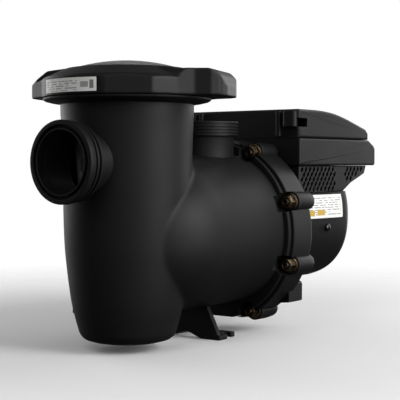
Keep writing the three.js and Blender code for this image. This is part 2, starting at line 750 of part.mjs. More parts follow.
function heatSink() {
  const baseZ = 200;
  const finHeight = 13;
  const comb = [];
  for (let y = -66; y <= 66; y += 12) {
    comb.push([y - 1.5, baseZ], [y - 1.5, baseZ - finHeight], [y + 1.5, baseZ - finHeight], [y + 1.5, baseZ]);
  }
  return extruded([...comb, [72, baseZ], [72, 205.4], [-72, 205.4], [-72, baseZ]], alongBasis, 236, 340);
}

// ---------- Drive ----------

function driveHousing() {
  const { frontX, halfWidth, bottomZ, seamZ, shoulderX, wall } = drive;
  const side = [
    [frontX, bottomZ], [driveRearX - 2, bottomZ], [driveRearX, bottomZ + 3], [driveRearX, 228],
    [driveRearX - 4, 233], [shoulderX + 2, seamZ - 1], [shoulderX, seamZ], [frontX, seamZ],
  ];
  const cavity = [
    [frontX + wall, bottomZ + wall], [driveRearX - 8, bottomZ + wall], [driveRearX - 8, 226],
    [shoulderX - 6, 236], [shoulderX - 6, seamZ + 1], [frontX + wall, seamZ + 1],
  ];
  const cableHole = rod('y', [300, 222], 9.5, halfWidth - 10, halfWidth + 10, 14);
  const wireHole = rod('z', [262, 0], 12, bottomZ - 1, bottomZ + wall + 1, 14);
  return cut(
    extruded(side, acrossBasis, -halfWidth, halfWidth, 1.5),
    extruded(cavity, acrossBasis, wall - halfWidth, halfWidth - wall),
    cableHole,
    wireHole,
  );
}

function driveGasket() {
  const outside = roundedRectangle([drive.frontX + 3, drive.shoulderX - 2], [-85, 85], 4);
  const inside = roundedRectangle([drive.frontX + 7, drive.shoulderX - 6], [-81, 81], 4);
  return cut(extruded(outside, upBasis, 240.3, 241.3), extruded(inside, upBasis, 239, 243));
}

function coverSide(inset, bottomZ) {
  const bend = [[cover.bendX, cover.bendZ], [312, 272.6], [285, 275.2], [cover.flatX, cover.topZ]];
  const rearX = drive.shoulderX + 1 - inset;
  const outline = [[drive.frontX + inset, bottomZ], [rearX, bottomZ], [rearX, cover.rearZ - inset]];
  const top = bend.map(([x, z]) => [x, z - inset]);
  return [...outline, ...top, [drive.frontX + inset, cover.topZ - inset]];
}

function panelOpening(inset, bottomZ, topZ) {
  const { frontX, rearX, halfWidth } = panel;
  const across = halfWidth - inset;
  const outline = roundedRectangle([frontX + inset, rearX - inset], [-across, across], 5);
  return extruded(outline, upBasis, bottomZ, topZ);
}

function driveCover() {
  const { bottomZ, halfWidth, topZ } = cover;
  const outside = extruded(coverSide(0, bottomZ), acrossBasis, -halfWidth, halfWidth, 2.5);
  const inside = extruded(coverSide(3.5, bottomZ - 1), acrossBasis, 3.5 - halfWidth, halfWidth - 3.5);
  const tray = extruded(
    roundedRectangle([panel.frontX - 3, panel.rearX + 3], [-panel.halfWidth - 3, panel.halfWidth + 3], 6),
    upBasis, panel.floorZ - 3, topZ - 4,
  );
  const corners = [-1, 1].map((side) => joined(
    extruded(roundedRectangle([213, 224], side < 0 ? [-86, -66] : [66, 86], 5), upBasis, 254, 273),
    extruded(roundedRectangle([214.5, 222], side < 0 ? [-64, -56] : [56, 64], 2.5, 2), upBasis, bottomZ, 274),
  ));
  const latches = [-1, 1].map((side) => box([218, 239], side < 0 ? [-95, -83] : [83, 95], [254, 265]));
  return cut(joined(cut(outside, inside), tray, ...corners), panelOpening(0, panel.floorZ, 290), ...latches);
}

function panelCover() {
  const skin = extruded(coverSide(0, 250), acrossBasis, -80, 80);
  const below = extruded(coverSide(panel.lidThickness, 200), acrossBasis, -90, 90);
  const hinge = rod('y', [panel.hingeX, panel.hingeZ], 1.5, 6 - panel.halfWidth, panel.halfWidth - 6, 10);
  const opening = panelOpening(0.6, 240, 290);
  const rearRelief = box([panel.rearX - 2.2, panel.rearX + 5], [-60, 60], [250, 290]);
  return cut(joined(cut(skin, below).intersect(opening), hinge), rearRelief);
}

const buttonPlaces = [-1.5, -0.5, 0.5, 1.5].map((step) => step * button.spacing);

function controlPanel() {
  const { length, width, x } = button;
  const plateBody = panelOpening(0.8, panel.floorZ + gap, panel.plateTopZ);
  const pockets = buttonPlaces.map((y) => box(
    [x - length / 2 - gap, x + length / 2 + gap], [y - width / 2 - gap, y + width / 2 + gap],
    [panel.floorZ + 1.2, 270],
  ));
  const windowSeat = box(
    [window.x[0] - gap, window.x[1] + gap], [window.y[0] - gap, window.y[1] + gap],
    [panel.plateTopZ - window.thickness, 270],
  );
  return cut(plateBody, ...pockets, windowSeat);
}

function displayWindow() {
  const bottom = panel.plateTopZ - window.thickness + gap;
  return extruded(roundedRectangle(window.x, window.y, 2), upBasis, bottom, bottom + window.thickness);
}

function pushButton(y) {
  const { length, width, height, x } = button;
  const bottom = panel.floorZ + 2.8;
  const outline = roundedRectangle([x - length / 2, x + length / 2], [y - width / 2, y + width / 2], 2.5, 2);
  return extruded(outline, upBasis, bottom, bottom + height);
}

function capacitor(x, y) {
  return turned([[0, 218.8], [14, 218.8], [14, 238], [13, 239.5], [0, 239.5]], 'z', [x, y], 12);
}

function conduitPlug() {
  const y = drive.halfWidth;
  const hex = rod('y', [300, 222], 14, y + gap, y + 6, 6);
  return joined(hex, rod('y', [300, 222], 9.2, y - 6, y + 1, 14));
}

function drainPlug({ x, z, faceY }) {
  const grip = box([x - 2, x + 2], [faceY + 3, faceY + 12], [z - 9, z + 9]);
  return joined(
    rod('y', [x, z], 7.2, faceY - 16, faceY + 1, 12),
    rod('y', [x, z], 11, faceY + gap, faceY + 4, 14),
    grip,
  );
}

// ---------- The assembled pump ----------

const pump = new THREE.Group();

function place(parent, name, body, look, turn = 0) {
  const mesh = new THREE.Mesh(geometryOf(body), look);
  mesh.name = name;
  mesh.rotation.z = THREE.MathUtils.degToRad(turn);
  parent.add(mesh);
}

const wetEnd = new THREE.Group();
place(wetEnd, 'strainer_housing', strainerHousing(), blackPlastic);
place(wetEnd, 'strainer_basket', strainerBasket(), greyPlastic);
place(wetEnd, 'basket_handle', basketHandle(), greyPlastic);
place(wetEnd, 'pot_drain_plug', drainPlug(drains.pot), blackPlastic);
place(wetEnd, 'volute_drain_plug', drainPlug(drains.volute), blackPlastic);
place(wetEnd, 'diffuser', diffuser(), greyPlastic);
place(wetEnd, 'impeller', impellerBody(), greyPlastic);
place(wetEnd, 'impeller_screw', impellerScrew(), steel);
place(wetEnd, 'shaft_seal_ring', shaftSealRing(), steel);
place(wetEnd, 'shaft_seal_seat', shaftSealSeat(), ceramic);
place(wetEnd, 'housing_o_ring', ring('x', shaftLine, 183.4, 96.6, 2.2), blackRubber);
place(wetEnd, 'seal_plate', sealPlate(), blackPlastic);
boltPlaces.forEach((where, i) => {
  place(wetEnd, `flange_stud_${i + 1}`, flangeStud(where), steel);
  place(wetEnd, `flange_nut_${i + 1}`, flangeNut(where), brass);
});

const lidGroup = new THREE.Group();
place(lidGroup, 'lid_ring', lidRing(), blackPlastic, wingAngle);
place(lidGroup, 'lid_lens', lidLens(), clearPlastic);
place(lidGroup, 'lid_o_ring', ring('z', potLine, 289.3, 73.5, 3), blackRubber);
place(lidGroup, 'lid_label', lidLabel(), labelPaper);

const motorGroup = new THREE.Group();
place(motorGroup, 'motor_shaft', motorShaft(), steel);
place(motorGroup, 'rotor_core', tube('x', shaftLine, shaft.radius + gap, 30, 246, 304, 18), steel);
place(motorGroup, 'stator', stator(), copper);
place(motorGroup, 'front_bearing', bearing(206, shaft.radius + gap, 20, 12), steel);
place(motorGroup, 'rear_bearing', bearing(318, shaft.radius + gap, 17.7, 10), steel);
place(motorGroup, 'motor_frame', motorFrame(), aluminium);
place(motorGroup, 'motor_shell', motorShell(), blackPlastic);
place(motorGroup, 'cooling_fan', coolingFan(), blackPlastic);
place(motorGroup, 'fan_cover', fanCover(), blackPlastic);
place(motorGroup, 'ground_screw', groundScrew(), steel);
place(motorGroup, 'rating_label', ratingLabel(), labelPaper);

const driveGroup = new THREE.Group();
place(driveGroup, 'vent_shroud', ventShroud(), blackPlastic);
place(driveGroup, 'heat_sink', heatSink(), aluminium);
place(driveGroup, 'drive_housing', driveHousing(), blackPlastic);
place(driveGroup, 'drive_gasket', driveGasket(), blackRubber);
place(driveGroup, 'circuit_board', box([232, 388], [-78, 78], [216.5, 218.5]), boardGreen);
place(driveGroup, 'capacitor_1', capacitor(350, -40), bluePlastic);
place(driveGroup, 'capacitor_2', capacitor(350, 0), bluePlastic);
place(driveGroup, 'drive_cover', driveCover(), blackPlastic);
place(driveGroup, 'control_panel', controlPanel(), greyPlastic);
place(driveGroup, 'display_window', displayWindow(), darkGlass);
place(driveGroup, 'panel_cover', panelCover(), blackPlastic);
['start_stop_button', 'speed_down_button', 'speed_up_button', 'menu_button'].forEach((name, i) => {
  place(driveGroup, name, pushButton(buttonPlaces[i]), greyPlastic);
});
place(driveGroup, 'conduit_plug', conduitPlug(), blackPlastic);

pump.add(wetEnd, lidGroup, motorGroup, driveGroup);
pump.position.x = -(suctionFaceX + driveRearX) / 2;

export default pump;
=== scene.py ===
"""Looks of the pool pump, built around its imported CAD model.

Shapes are written in millimetres in the pump's own frame: x = 0 on the strainer pot's axis and rising
towards the motor, y = 0 on the middle plane, z = 0 under the feet. to_frame() turns them into metres.
"""

import math

import bmesh
import bpy
from mathutils import Matrix, Vector

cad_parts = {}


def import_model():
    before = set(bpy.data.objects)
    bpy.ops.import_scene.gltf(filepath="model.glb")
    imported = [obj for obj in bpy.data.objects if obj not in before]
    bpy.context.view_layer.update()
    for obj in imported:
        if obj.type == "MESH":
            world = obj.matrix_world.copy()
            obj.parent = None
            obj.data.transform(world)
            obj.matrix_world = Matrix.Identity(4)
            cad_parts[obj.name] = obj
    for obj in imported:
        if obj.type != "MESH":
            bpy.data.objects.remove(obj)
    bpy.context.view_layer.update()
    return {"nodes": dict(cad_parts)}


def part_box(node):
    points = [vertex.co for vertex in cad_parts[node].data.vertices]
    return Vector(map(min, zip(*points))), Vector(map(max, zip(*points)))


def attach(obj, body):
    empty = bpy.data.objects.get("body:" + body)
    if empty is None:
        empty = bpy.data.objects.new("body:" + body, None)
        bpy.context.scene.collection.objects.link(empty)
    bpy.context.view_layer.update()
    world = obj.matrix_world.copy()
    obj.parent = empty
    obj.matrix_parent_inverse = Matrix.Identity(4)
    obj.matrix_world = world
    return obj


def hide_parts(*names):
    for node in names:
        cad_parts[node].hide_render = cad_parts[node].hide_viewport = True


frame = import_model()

MM = 0.001
scene = bpy.context.scene

lens_low, lens_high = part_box("lid_lens")
pot_x = (lens_low.x + lens_high.x) / 2


def to_frame(point):
    x, y, z = point
    return (x * MM + pot_x, y * MM, z * MM)


def span(node):
    """A CAD node's lowest and highest corner in pump millimetres."""
    low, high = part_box(node)
    return tuple(((corner.x - pot_x) / MM, corner.y / MM, corner.z / MM) for corner in (low, high))


def middle(node):
    low, high = span(node)
    return tuple((a + b) / 2 for a, b in zip(low, high))


# ---------- Driving dimensions, in millimetres ----------

SHAFT_Z = 125
SUCTION_Z = 210
SUCTION_FACE_X = -108
DISCHARGE_X = 141
DISCHARGE_TOP_Z = 259
WING_TURN = -71.4               # plan direction of the lid's stepped wing, in degrees
PORT_BORE = 34

BARREL_NOSE_X, BARREL_FULL_X, BARREL_REAR_X = -55, 60, 165
BARREL_HALF_WIDTH, BARREL_REAR_HALF_WIDTH = 95, 102.5
BARREL_RISE, BARREL_REAR_RISE, BARREL_DROP = 91, 98, 89
BARREL_POWER = 2.15

FLANGE_RADIUS, FLANGE_FRONT_X, FLANGE_REAR_X, FLANGE_FLAT_Z = 109, 165, 186, 19.5
EAR_RADIUS, EAR_X = 12, 181
STUD_RADIUS = 4
STUD_END_X = 168.5

RIM_RADIUS, RIM_FRONT_X, RIM_REAR_X, BOSS_REAR_X = 113, 171, 214, 219
PLATE_FRONT_X = 186.3
PLUG_HEAD = 12                  # how far a drain plug stands out of its boss

LID_BOTTOM_Z, LID_TOP_Z, LID_RADIUS, LID_BORE = 281, 313.5, 95, 62
STEPPED_REACH, SLOPED_REACH = 122, 107
LENS_TOP_Z, LENS_DOME_RADIUS, LENS_WALL_RADIUS = 323, 204, 61

MOTOR_FRONT_X, MOTOR_REAR_X, MOTOR_Z, MOTOR_TOP_Z = 222, 338, 140, 172
MOTOR_HALF_WIDTH, MOTOR_HALF_HEIGHT, MOTOR_POWER = 87.5, 84.5, 2.3

DRIVE_FRONT_X, DRIVE_REAR_X, DRIVE_SHOULDER_X = 220, 415, 397
DRIVE_HALF_WIDTH, DRIVE_BOTTOM_Z, DRIVE_SEAM_Z = 90, 206, 240
COVER_BOTTOM_Z, COVER_TOP_Z, COVER_HALF_WIDTH = 241.6, 276, 88.5
PANEL_FRONT_X, PANEL_REAR_X, PANEL_HALF_WIDTH, PANEL_FLOOR_Z = 232, 296, 42, 261

BUTTONS = ("start_stop_button", "speed_down_button", "speed_up_button", "menu_button")
nut_places = [middle(f"flange_nut_{i}")[1:] for i in range(1, 9)]


# ---------- Outlines ----------

def arc(x, y, radius, start, end, steps=8):
    """Points of a circular arc, with the angles in degrees."""
    angles = [math.radians(start + (end - start) * i / steps) for i in range(steps + 1)]
    return [(x + radius * math.cos(a), y + radius * math.sin(a)) for a in angles]


def rounded(corners, steps=5):
    """A closed outline whose (x, y, radius) corners are rounded."""
    points = []
    for i, (x, y, radius) in enumerate(corners):
        corner = Vector((x, y))
        to_last = Vector(corners[i - 1][:2]) - corner
        to_next = Vector(corners[(i + 1) % len(corners)][:2]) - corner
        if radius == 0:
            points.append((x, y))
            continue
        half = to_last.angle(to_next) / 2
        reach = min(radius / math.tan(half), 0.49 * to_last.length, 0.49 * to_next.length)
        radius = reach * math.tan(half)
        centre = corner + (to_last.normalized() + to_next.normalized()).normalized() * radius / math.sin(half)
        first = corner + to_last.normalized() * reach - centre
        last = corner + to_next.normalized() * reach - centre
        start = math.atan2(first.y, first.x)
        sweep = (math.atan2(last.y, last.x) - start + math.pi) % (2 * math.pi) - math.pi
        points += arc(*centre, radius, math.degrees(start), math.degrees(start + sweep), steps)
    return points


def hexagon(x, y, reach):
    return [(x + reach * math.cos(math.radians(60 * i)), y + reach * math.sin(math.radians(60 * i)))
            for i in range(6)]


def rectangle(x, y, radius):
    return rounded([(x[0], y[0], radius), (x[1], y[0], radius), (x[1], y[1], radius), (x[0], y[1], radius)])


def curve_through(points, steps=6):
    """A smooth open curve through the points."""
    ends = [points[0], *points, points[-1]]
    curve = []
    for a, b, c, d in zip(ends, ends[1:], ends[2:], ends[3:]):
        for i in range(steps):
            t = i / steps
            curve.append(tuple(
                b[k] + 0.5 * t * (c[k] - a[k] + t * (2 * a[k] - 5 * b[k] + 4 * c[k] - d[k]
                                                     + t * (3 * (b[k] - c[k]) + d[k] - a[k])))
                for k in range(2)))
    return [*curve, points[-1]]


def superellipse(centre_z, half_width, half_height, power, count=96):
    points = []
    for i in range(count):
        angle = 2 * math.pi * i / count
        across, up = math.cos(angle), math.sin(angle)
        points.append((
            half_width * math.copysign(abs(across) ** (2 / power), across),
            centre_z + half_height * math.copysign(abs(up) ** (2 / power), up),
        ))
    return points


def inset(outline, distance):
    """A counter-clockwise outline moved inwards along its corner mitres."""
    moved = []
    for i, point in enumerate(outline):
        here = Vector(point)
        before = (here - Vector(outline[i - 1])).normalized()
        after = (Vector(outline[(i + 1) % len(outline)]) - here).normalized()
        first, second = Vector((-before.y, before.x)), Vector((-after.y, after.x))
        moved.append(here + (first + second) * distance / max(0.4, 1 + first.dot(second)))
    return moved


def area(outline):
    return sum(a[0] * b[1] - b[0] * a[1] for a, b in zip(outline, [*outline[1:], outline[0]])) / 2


# ---------- Solids ----------

def build(name, points, faces):
    """A closed mesh object from points in pump millimetres."""
    mesh = bpy.data.meshes.new(name)
    mesh.from_pydata([to_frame(point) for point in points], [], faces)
    work = bmesh.new()
    work.from_mesh(mesh)
    bmesh.ops.remove_doubles(work, verts=work.verts, dist=1e-7)
    bmesh.ops.recalc_face_normals(work, faces=work.faces)
    work.to_mesh(mesh)
    work.free()
    piece = bpy.data.objects.new(name, mesh)
    scene.collection.objects.link(piece)
    return piece


def on_axis(axis, across, up, along):
    """A point from its two outline coordinates and its place along an axis."""
    if axis == "x":
        return (along, across, up)
    if axis == "y":
        return (across, along, up)
    return (across, up, along)


def lofted(name, rings):
    """A solid through rings of 3-D points, closed with a flat face at each end."""
    count = len(rings[0])
    faces = []
    for r in range(len(rings) - 1):
        for i in range(count):
            j = (i + 1) % count
            faces.append((r * count + i, r * count + j, (r + 1) * count + j, (r + 1) * count + i))
    faces.append(tuple(range(count)))
    faces.append(tuple((len(rings) - 1) * count + i for i in range(count)))
    return build(name, [point for ring in rings for point in ring], faces)


def extruded(name, outline, axis, low, high, edge=0.0, steps=3):
    """An outline carried along an axis, with its end edges rounded by edge."""
    if area(outline) < 0:
        outline = outline[::-1]
    levels = [(0, low), (0, high)]
    if edge:
        turn = [math.pi / 2 * i / steps for i in range(steps + 1)]
        start = [(edge * (1 - math.sin(t)), low + edge * (1 - math.cos(t))) for t in turn]
        levels = start + [(depth, high - (along - low)) for depth, along in reversed(start)]
    return lofted(name, [
        [on_axis(axis, across, up, along) for across, up in (inset(outline, depth) if depth else outline)]
        for depth, along in levels])


def turned(name, profile, axis, centre, sides=96):
    """A (radius, place) outline turned about a line along an axis through centre."""
    points, rows = [], []
    for radius, along in profile:
        if radius < 1e-6:
            rows.append([len(points)] * sides)
            points.append(on_axis(axis, centre[0], centre[1], along))
            continue
        rows.append([len(points) + i for i in range(sides)])
        for i in range(sides):
            angle = 2 * math.pi * i / sides
            across, up = centre[0] + radius * math.cos(angle), centre[1] + radius * math.sin(angle)
            points.append(on_axis(axis, across, up, along))
    if profile[0][0] > 1e-6 and profile[-1][0] > 1e-6:
        rows.append(rows[0])
    faces = []
    for low, high in zip(rows, rows[1:]):
        for i in range(sides):
            j = (i + 1) % sides
            face = list(dict.fromkeys((low[i], low[j], high[j], high[i])))
            if len(face) > 2:
                faces.append(face)
    return build(name, points, faces)


def rod(axis, centre, radius, low, high, edge=0.0, sides=48):
    corners = [
        (0, low), (radius - edge, low), (radius, low + edge), (radius, high - edge), (radius - edge, high),
    ]
    return turned("rod", [*dict.fromkeys(corners), (0, high)], axis, centre, sides)


def box(x, y, z, edge=0.0):
    return extruded("box", [(x[0], y[0]), (x[1], y[0]), (x[1], y[1]), (x[0], y[1])], "z", *z, edge)


def turned_about(piece, degrees, centre=(0, 0, 0), axis=(0, 0, 1)):
    """Turns a piece's mesh about a line through a point given in pump millimetres."""
    pivot = Matrix.Translation(to_frame(centre))
    piece.data.transform(pivot @ Matrix.Rotation(math.radians(degrees), 4, axis) @ pivot.inverted())
    return piece


# ---------- Joining and finishing solids ----------

def bake(piece):
    """Applies a piece's modifiers."""
    bpy.context.view_layer.update()
    evaluated = piece.evaluated_get(bpy.context.evaluated_depsgraph_get())
    piece.data = bpy.data.meshes.new_from_object(evaluated)
    piece.modifiers.clear()
    return piece


def gathered(name, pieces):
    """All the pieces' faces in one object."""
    work = bmesh.new()
    for piece in pieces:
        work.from_mesh(piece.data)
    mesh = bpy.data.meshes.new(name)
    work.to_mesh(mesh)
    work.free()
    for piece in pieces:
        bpy.data.objects.remove(piece)
    whole = bpy.data.objects.new(name, mesh)
    scene.collection.objects.link(whole)
    return whole


def combine(piece, operation, tools):
    for tool in tools:
        change = piece.modifiers.new(operation, "BOOLEAN")
        change.operation = operation
        change.solver = "MANIFOLD"
        change.object = tool
    bake(piece)
    for tool in tools:
        bpy.data.objects.remove(tool)
    return piece


def cut(piece, *tools):
    return combine(piece, "DIFFERENCE", tools)


def joined(piece, *others):
    return combine(piece, "UNION", others)


def shared(piece, *others):
    return combine(piece, "INTERSECT", others)


def melted(piece, voxel, rounds):
    """Runs a piece's overlapping solids into one skin with soft corners, as a moulding has."""
    melt = piece.modifiers.new("melt", "REMESH")
    melt.mode = "VOXEL"
    melt.voxel_size = voxel * MM
    soften = piece.modifiers.new("soften", "SMOOTH")
    soften.iterations = rounds
    return bake(piece)


def eased(piece, width, segments=2):
    """Rounds a piece's sharp edges."""
    bevel = piece.modifiers.new("bevel", "BEVEL")
    bevel.width = width * MM
    bevel.segments = segments
    bevel.limit_method = "ANGLE"
    bevel.angle_limit = math.radians(35)
    return bake(piece)


def put(piece, body, slot, *nodes, look=None, crease=32, flat=False):
    """Finishes a piece: shading, material, the body it rides on and the CAD nodes that it stands for."""
    piece.data.materials.clear()
    piece.data.materials.append(look or looks[slot])
    piece.data.shade_smooth()
    piece.data.set_sharp_from_angle(angle=math.radians(crease))
    if flat:
        even = piece.modifiers.new("even", "WEIGHTED_NORMAL")
        even.keep_sharp = True
        even.weight = 100
    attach(piece, body)
    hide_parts(*nodes)
    return piece


# ---------- Materials ----------

SATIN = 0.22                    # how much the moulded plastic reflects


class Recipe:
    """The nodes of a material or of the world while they are wired up."""

    def __init__(self, owner):
        owner.use_nodes = True
        self.owner = owner
        self.tree = owner.node_tree

    def add(self, kind):
        return self.tree.nodes.new("ShaderNode" + kind)

    def shader(self, name):
        return self.tree.nodes["Principled BSDF"].inputs[name]

    def feed(self, socket, value):
        """Links a socket to another one, or sets it to a plain number or colour."""
        if isinstance(value, bpy.types.NodeSocket):
            self.tree.links.new(value, socket)
        elif isinstance(value, tuple):
            socket.default_value = (*value, 1)
        else:
            socket.default_value = value

    def place(self, kind="Object"):
        return self.add("TexCoord").outputs[kind]

    def noise(self, source, scale, detail=3, stretch=(1, 1, 1)):
        """A noise pattern's value over the object, with scale in repeats per metre."""
        mapping = self.add("Mapping")
        mapping.inputs["Scale"].default_value = stretch
        pattern = self.add("TexNoise")
        self.feed(mapping.inputs["Vector"], source)
        self.feed(pattern.inputs["Vector"], mapping.outputs["Vector"])
        self.feed(pattern.inputs["Scale"], scale)
        self.feed(pattern.inputs["Detail"], detail)
        return pattern.outputs["Fac"]

    def between(self, value, low, high, to_low=0, to_high=1):
        """A value carried from one range to another."""
        ranged = self.add("MapRange")
        names = ("Value", "From Min", "From Max", "To Min", "To Max")
        for name, amount in zip(names, (value, low, high, to_low, to_high)):
            self.feed(ranged.inputs[name], amount)
        return ranged.outputs["Result"]

    def mixed(self, share, first, second):
        """A colour between two colours."""
        mix = self.add("Mix")
        mix.data_type = "RGBA"
        self.feed(mix.inputs["Factor"], share)
        self.feed(mix.inputs[6], first)
        self.feed(mix.inputs[7], second)
        return mix.outputs[2]

    def bumped(self, height, distance, strength, normal=None):
        bump = self.add("Bump")
        self.feed(bump.inputs["Height"], height)
        self.feed(bump.inputs["Distance"], distance)
        self.feed(bump.inputs["Strength"], strength)
        if normal:
            self.feed(bump.inputs["Normal"], normal)
        return bump.outputs["Normal"]

    def math(self, operation, *values):
        node = self.add("Math")
        node.operation = operation
        for socket, value in zip(node.inputs, values):
            self.feed(socket, value)
        return node.outputs["Value"]

    def product(self, first, *others):
        for other in others:
            first = self.math("MULTIPLY", first, other)
        return first

    def within(self, value, low, high):
        """1 where a value lies between two limits, and 0 elsewhere."""
        return self.product(self.math("GREATER_THAN", value, low), self.math("LESS_THAN", value, high))

    def worn_edges(self, breakup):
        """A value that is high along worn outer edges."""
        sharpness = self.add("NewGeometry").outputs["Pointiness"]
        return self.product(self.between(sharpness, 0.53, 0.62), self.between(breakup, 0.4, 0.65))

    def finish(self, colour, roughness, normal):
        self.feed(self.shader("Base Color"), colour)
        self.feed(self.shader("Roughness"), roughness)
        self.feed(self.shader("Normal"), normal)
        return self.owner


def new_material(name):
    return Recipe(bpy.data.materials.new(name))


def moulded_plastic(name, colour, roughness, grain=1.0, wear=0.5):
    """Satin moulded plastic: fine grain, faint cloudiness, a slow waviness and paler rubbed edges."""
    mix = new_material(name)
    place = mix.place()
    cloud = mix.noise(place, 14)
    dark = tuple(c * 0.8 for c in colour)
    light = tuple(c * 1.25 for c in colour)
    rubbed = tuple(min(1, c * (1 + 2 * wear) + 0.004 * wear) for c in colour)
    body = mix.mixed(mix.between(cloud, 0.3, 0.7), dark, light)
    edge = mix.worn_edges(mix.noise(place, 90))
    mix.feed(mix.shader("Specular IOR Level"), SATIN)
    slow = mix.bumped(mix.noise(place, 38, 1), 0.0005, 0.1)
    return mix.finish(
        mix.mixed(edge, body, rubbed),
        mix.between(cloud, 0.3, 0.7, roughness + 0.05, roughness - 0.05),
        mix.bumped(mix.noise(place, 1500, 2), 0.00015 * grain, 0.35, slow),
    )


def worked_metal(name, colour, tarnish, roughness, stretch=(1, 1, 1), dirt=0.5):
    """Metal with fine tool marks, cloudy tarnish in patches and bright rubbed edges."""
    mix = new_material(name)
    mix.feed(mix.shader("Metallic"), 1)
    place = mix.place()
    cloud = mix.noise(place, 160)
    body = mix.mixed(mix.between(cloud, 0.4, 0.62, 0, dirt), colour, tarnish)
    bright = tuple(min(1, c * 1.3) for c in colour)
    return mix.finish(
        mix.mixed(mix.worn_edges(cloud), body, bright),
        mix.between(cloud, 0.3, 0.7, roughness - 0.08, roughness + 0.14),
        mix.bumped(mix.noise(place, 900, 3, stretch), 0.0002, 0.3),
    )


def clear_lens():
    """Clear polycarbonate with faint dust and light scuffs."""
    mix = new_material("clear_polycarbonate")
    place = mix.place()
    dust = mix.noise(place, 120)
    mix.feed(mix.shader("Transmission Weight"), 0.9)
    mix.feed(mix.shader("IOR"), 1.45)
    return mix.finish(
        mix.mixed(mix.between(dust, 0.35, 0.7), (0.92, 0.94, 0.94), (0.8, 0.82, 0.82)),
        mix.between(dust, 0.3, 0.7, 0.03, 0.16),
        mix.bumped(mix.noise(place, 60, 1), 0.0004, 0.1),
    )


def gloss(name, colour, roughness, fleck):
    """Smooth glossy stuff such as glaze, solder mask, sleeve film or window glass."""
    mix = new_material(name)
    cloud = mix.noise(mix.place(), 220)
    return mix.finish(
        mix.mixed(mix.between(cloud, 0.4, 0.6), colour, fleck),
        mix.between(cloud, 0.3, 0.7, roughness, roughness + 0.08),
        mix.bumped(cloud, 0.0001, 0.1),
    )


def printed_label(name, rows, word_scale, left, right, patches):
    """A printed film label: broken grey bars in rows between two margins, and coloured patches."""
    mix = new_material(name)
    face = mix.place("UV")
    split = mix.add("SeparateXYZ")
    mix.feed(split.inputs["Vector"], face)
    across, up = split.outputs["X"], split.outputs["Y"]
    line = mix.math("FRACT", mix.math("MULTIPLY", up, rows))
    words = mix.noise(face, 1, 0, (word_scale, rows * 0.9, 1))
    inked = mix.product(
        mix.within(line, 0.34, 0.74),
        mix.math("GREATER_THAN", words, 0.44),
        mix.within(across, left, right),
        mix.within(up, 0.08, 0.9),
    )
    aged = mix.noise(mix.place(), 60)
    paper = mix.mixed(mix.between(aged, 0.3, 0.7), (0.9, 0.9, 0.88), (0.78, 0.78, 0.75))
    colour = mix.mixed(mix.math("MULTIPLY", inked, 0.72), paper, (0.06, 0.06, 0.065))
    for (x0, x1), (y0, y1), tint in patches:
        colour = mix.mixed(mix.product(mix.within(across, x0, x1), mix.within(up, y0, y1)), colour, tint)
    return mix.finish(colour, mix.between(aged, 0.3, 0.7, 0.4, 0.55), mix.bumped(aged, 0.0002, 0.1))


GOLD = (0.55, 0.36, 0.06)
looks = {
    "black_housing": moulded_plastic("black_moulding", (0.0062, 0.0062, 0.0066), 0.52, grain=1.2),
    "black_cover": moulded_plastic("black_cover_moulding", (0.0058, 0.0058, 0.0062), 0.48, 0.9, 0.12),
    "clear_lens": clear_lens(),
    "grey_plastic": moulded_plastic("grey_moulding", (0.2, 0.21, 0.22), 0.5),
    "rubber": moulded_plastic("black_rubber", (0.005, 0.005, 0.005), 0.8, grain=1.5, wear=0.1),
    "brass": worked_metal("worn_brass", (0.24, 0.18, 0.11), (0.02, 0.012, 0.007), 0.34, (1, 0.2, 0.2), 1),
    "steel": worked_metal("turned_steel", (0.5, 0.5, 0.52), (0.22, 0.21, 0.2), 0.32, (1, 0.2, 0.2)),
    "stud_steel": worked_metal("tarnished_stud_steel", (0.16, 0.14, 0.11), (0.03, 0.022, 0.015), 0.34,
                               dirt=1),
    "dark_steel": worked_metal("blackened_steel", (0.06, 0.06, 0.065), (0.02, 0.02, 0.02), 0.3),
    "copper": worked_metal("varnished_copper", (0.45, 0.17, 0.07), (0.2, 0.06, 0.02), 0.35, (0.1, 1, 1)),
    "aluminium": worked_metal("cast_aluminium", (0.5, 0.51, 0.53), (0.3, 0.3, 0.3), 0.5),
    "ceramic": gloss("ground_ceramic", (0.7, 0.67, 0.6), 0.3, (0.6, 0.57, 0.5)),
    "board": gloss("solder_mask", (0.015, 0.1, 0.04), 0.3, (0.02, 0.15, 0.06)),
    "dark_glass": gloss("display_glass", (0.008, 0.01, 0.012), 0.06, (0.012, 0.014, 0.018)),
    "capacitor": gloss("capacitor_sleeve", (0.015, 0.035, 0.1), 0.25, (0.02, 0.05, 0.14)),
}
lid_print = printed_label("lid_label_print", 6, 16, 0.05, 0.7, [
    ((0.76, 0.88), (0.3, 0.7), (0.35, 0.35, 0.35)),
    ((0.9, 0.96), (0.2, 0.8), (0.2, 0.2, 0.2)),
])
rating_print = printed_label("rating_label_print", 10, 14, 0.05, 0.95, [
    ((0.02, 0.2), (0.1, 0.34), GOLD),
    ((0.27, 0.48), (0.12, 0.36), GOLD),
])


# ---------- Strainer housing ----------

def nut_rods(radius, low, high, sides=48):
    """A rod of the same size at each of the eight nuts."""
    return [rod("x", place, radius, low, high, 0, sides) for place in nut_places]


def pot_skin():
    side = curve_through([(54.5, 19), (62.6, 51), (68.2, 92), (71.2, 132), (72.8, 220), (74.6, 268)])
    return turned("pot", [(0, 8.5), (38, 9.5), (50, 13), *side, (0, 268)], "z", (0, 0), 128)


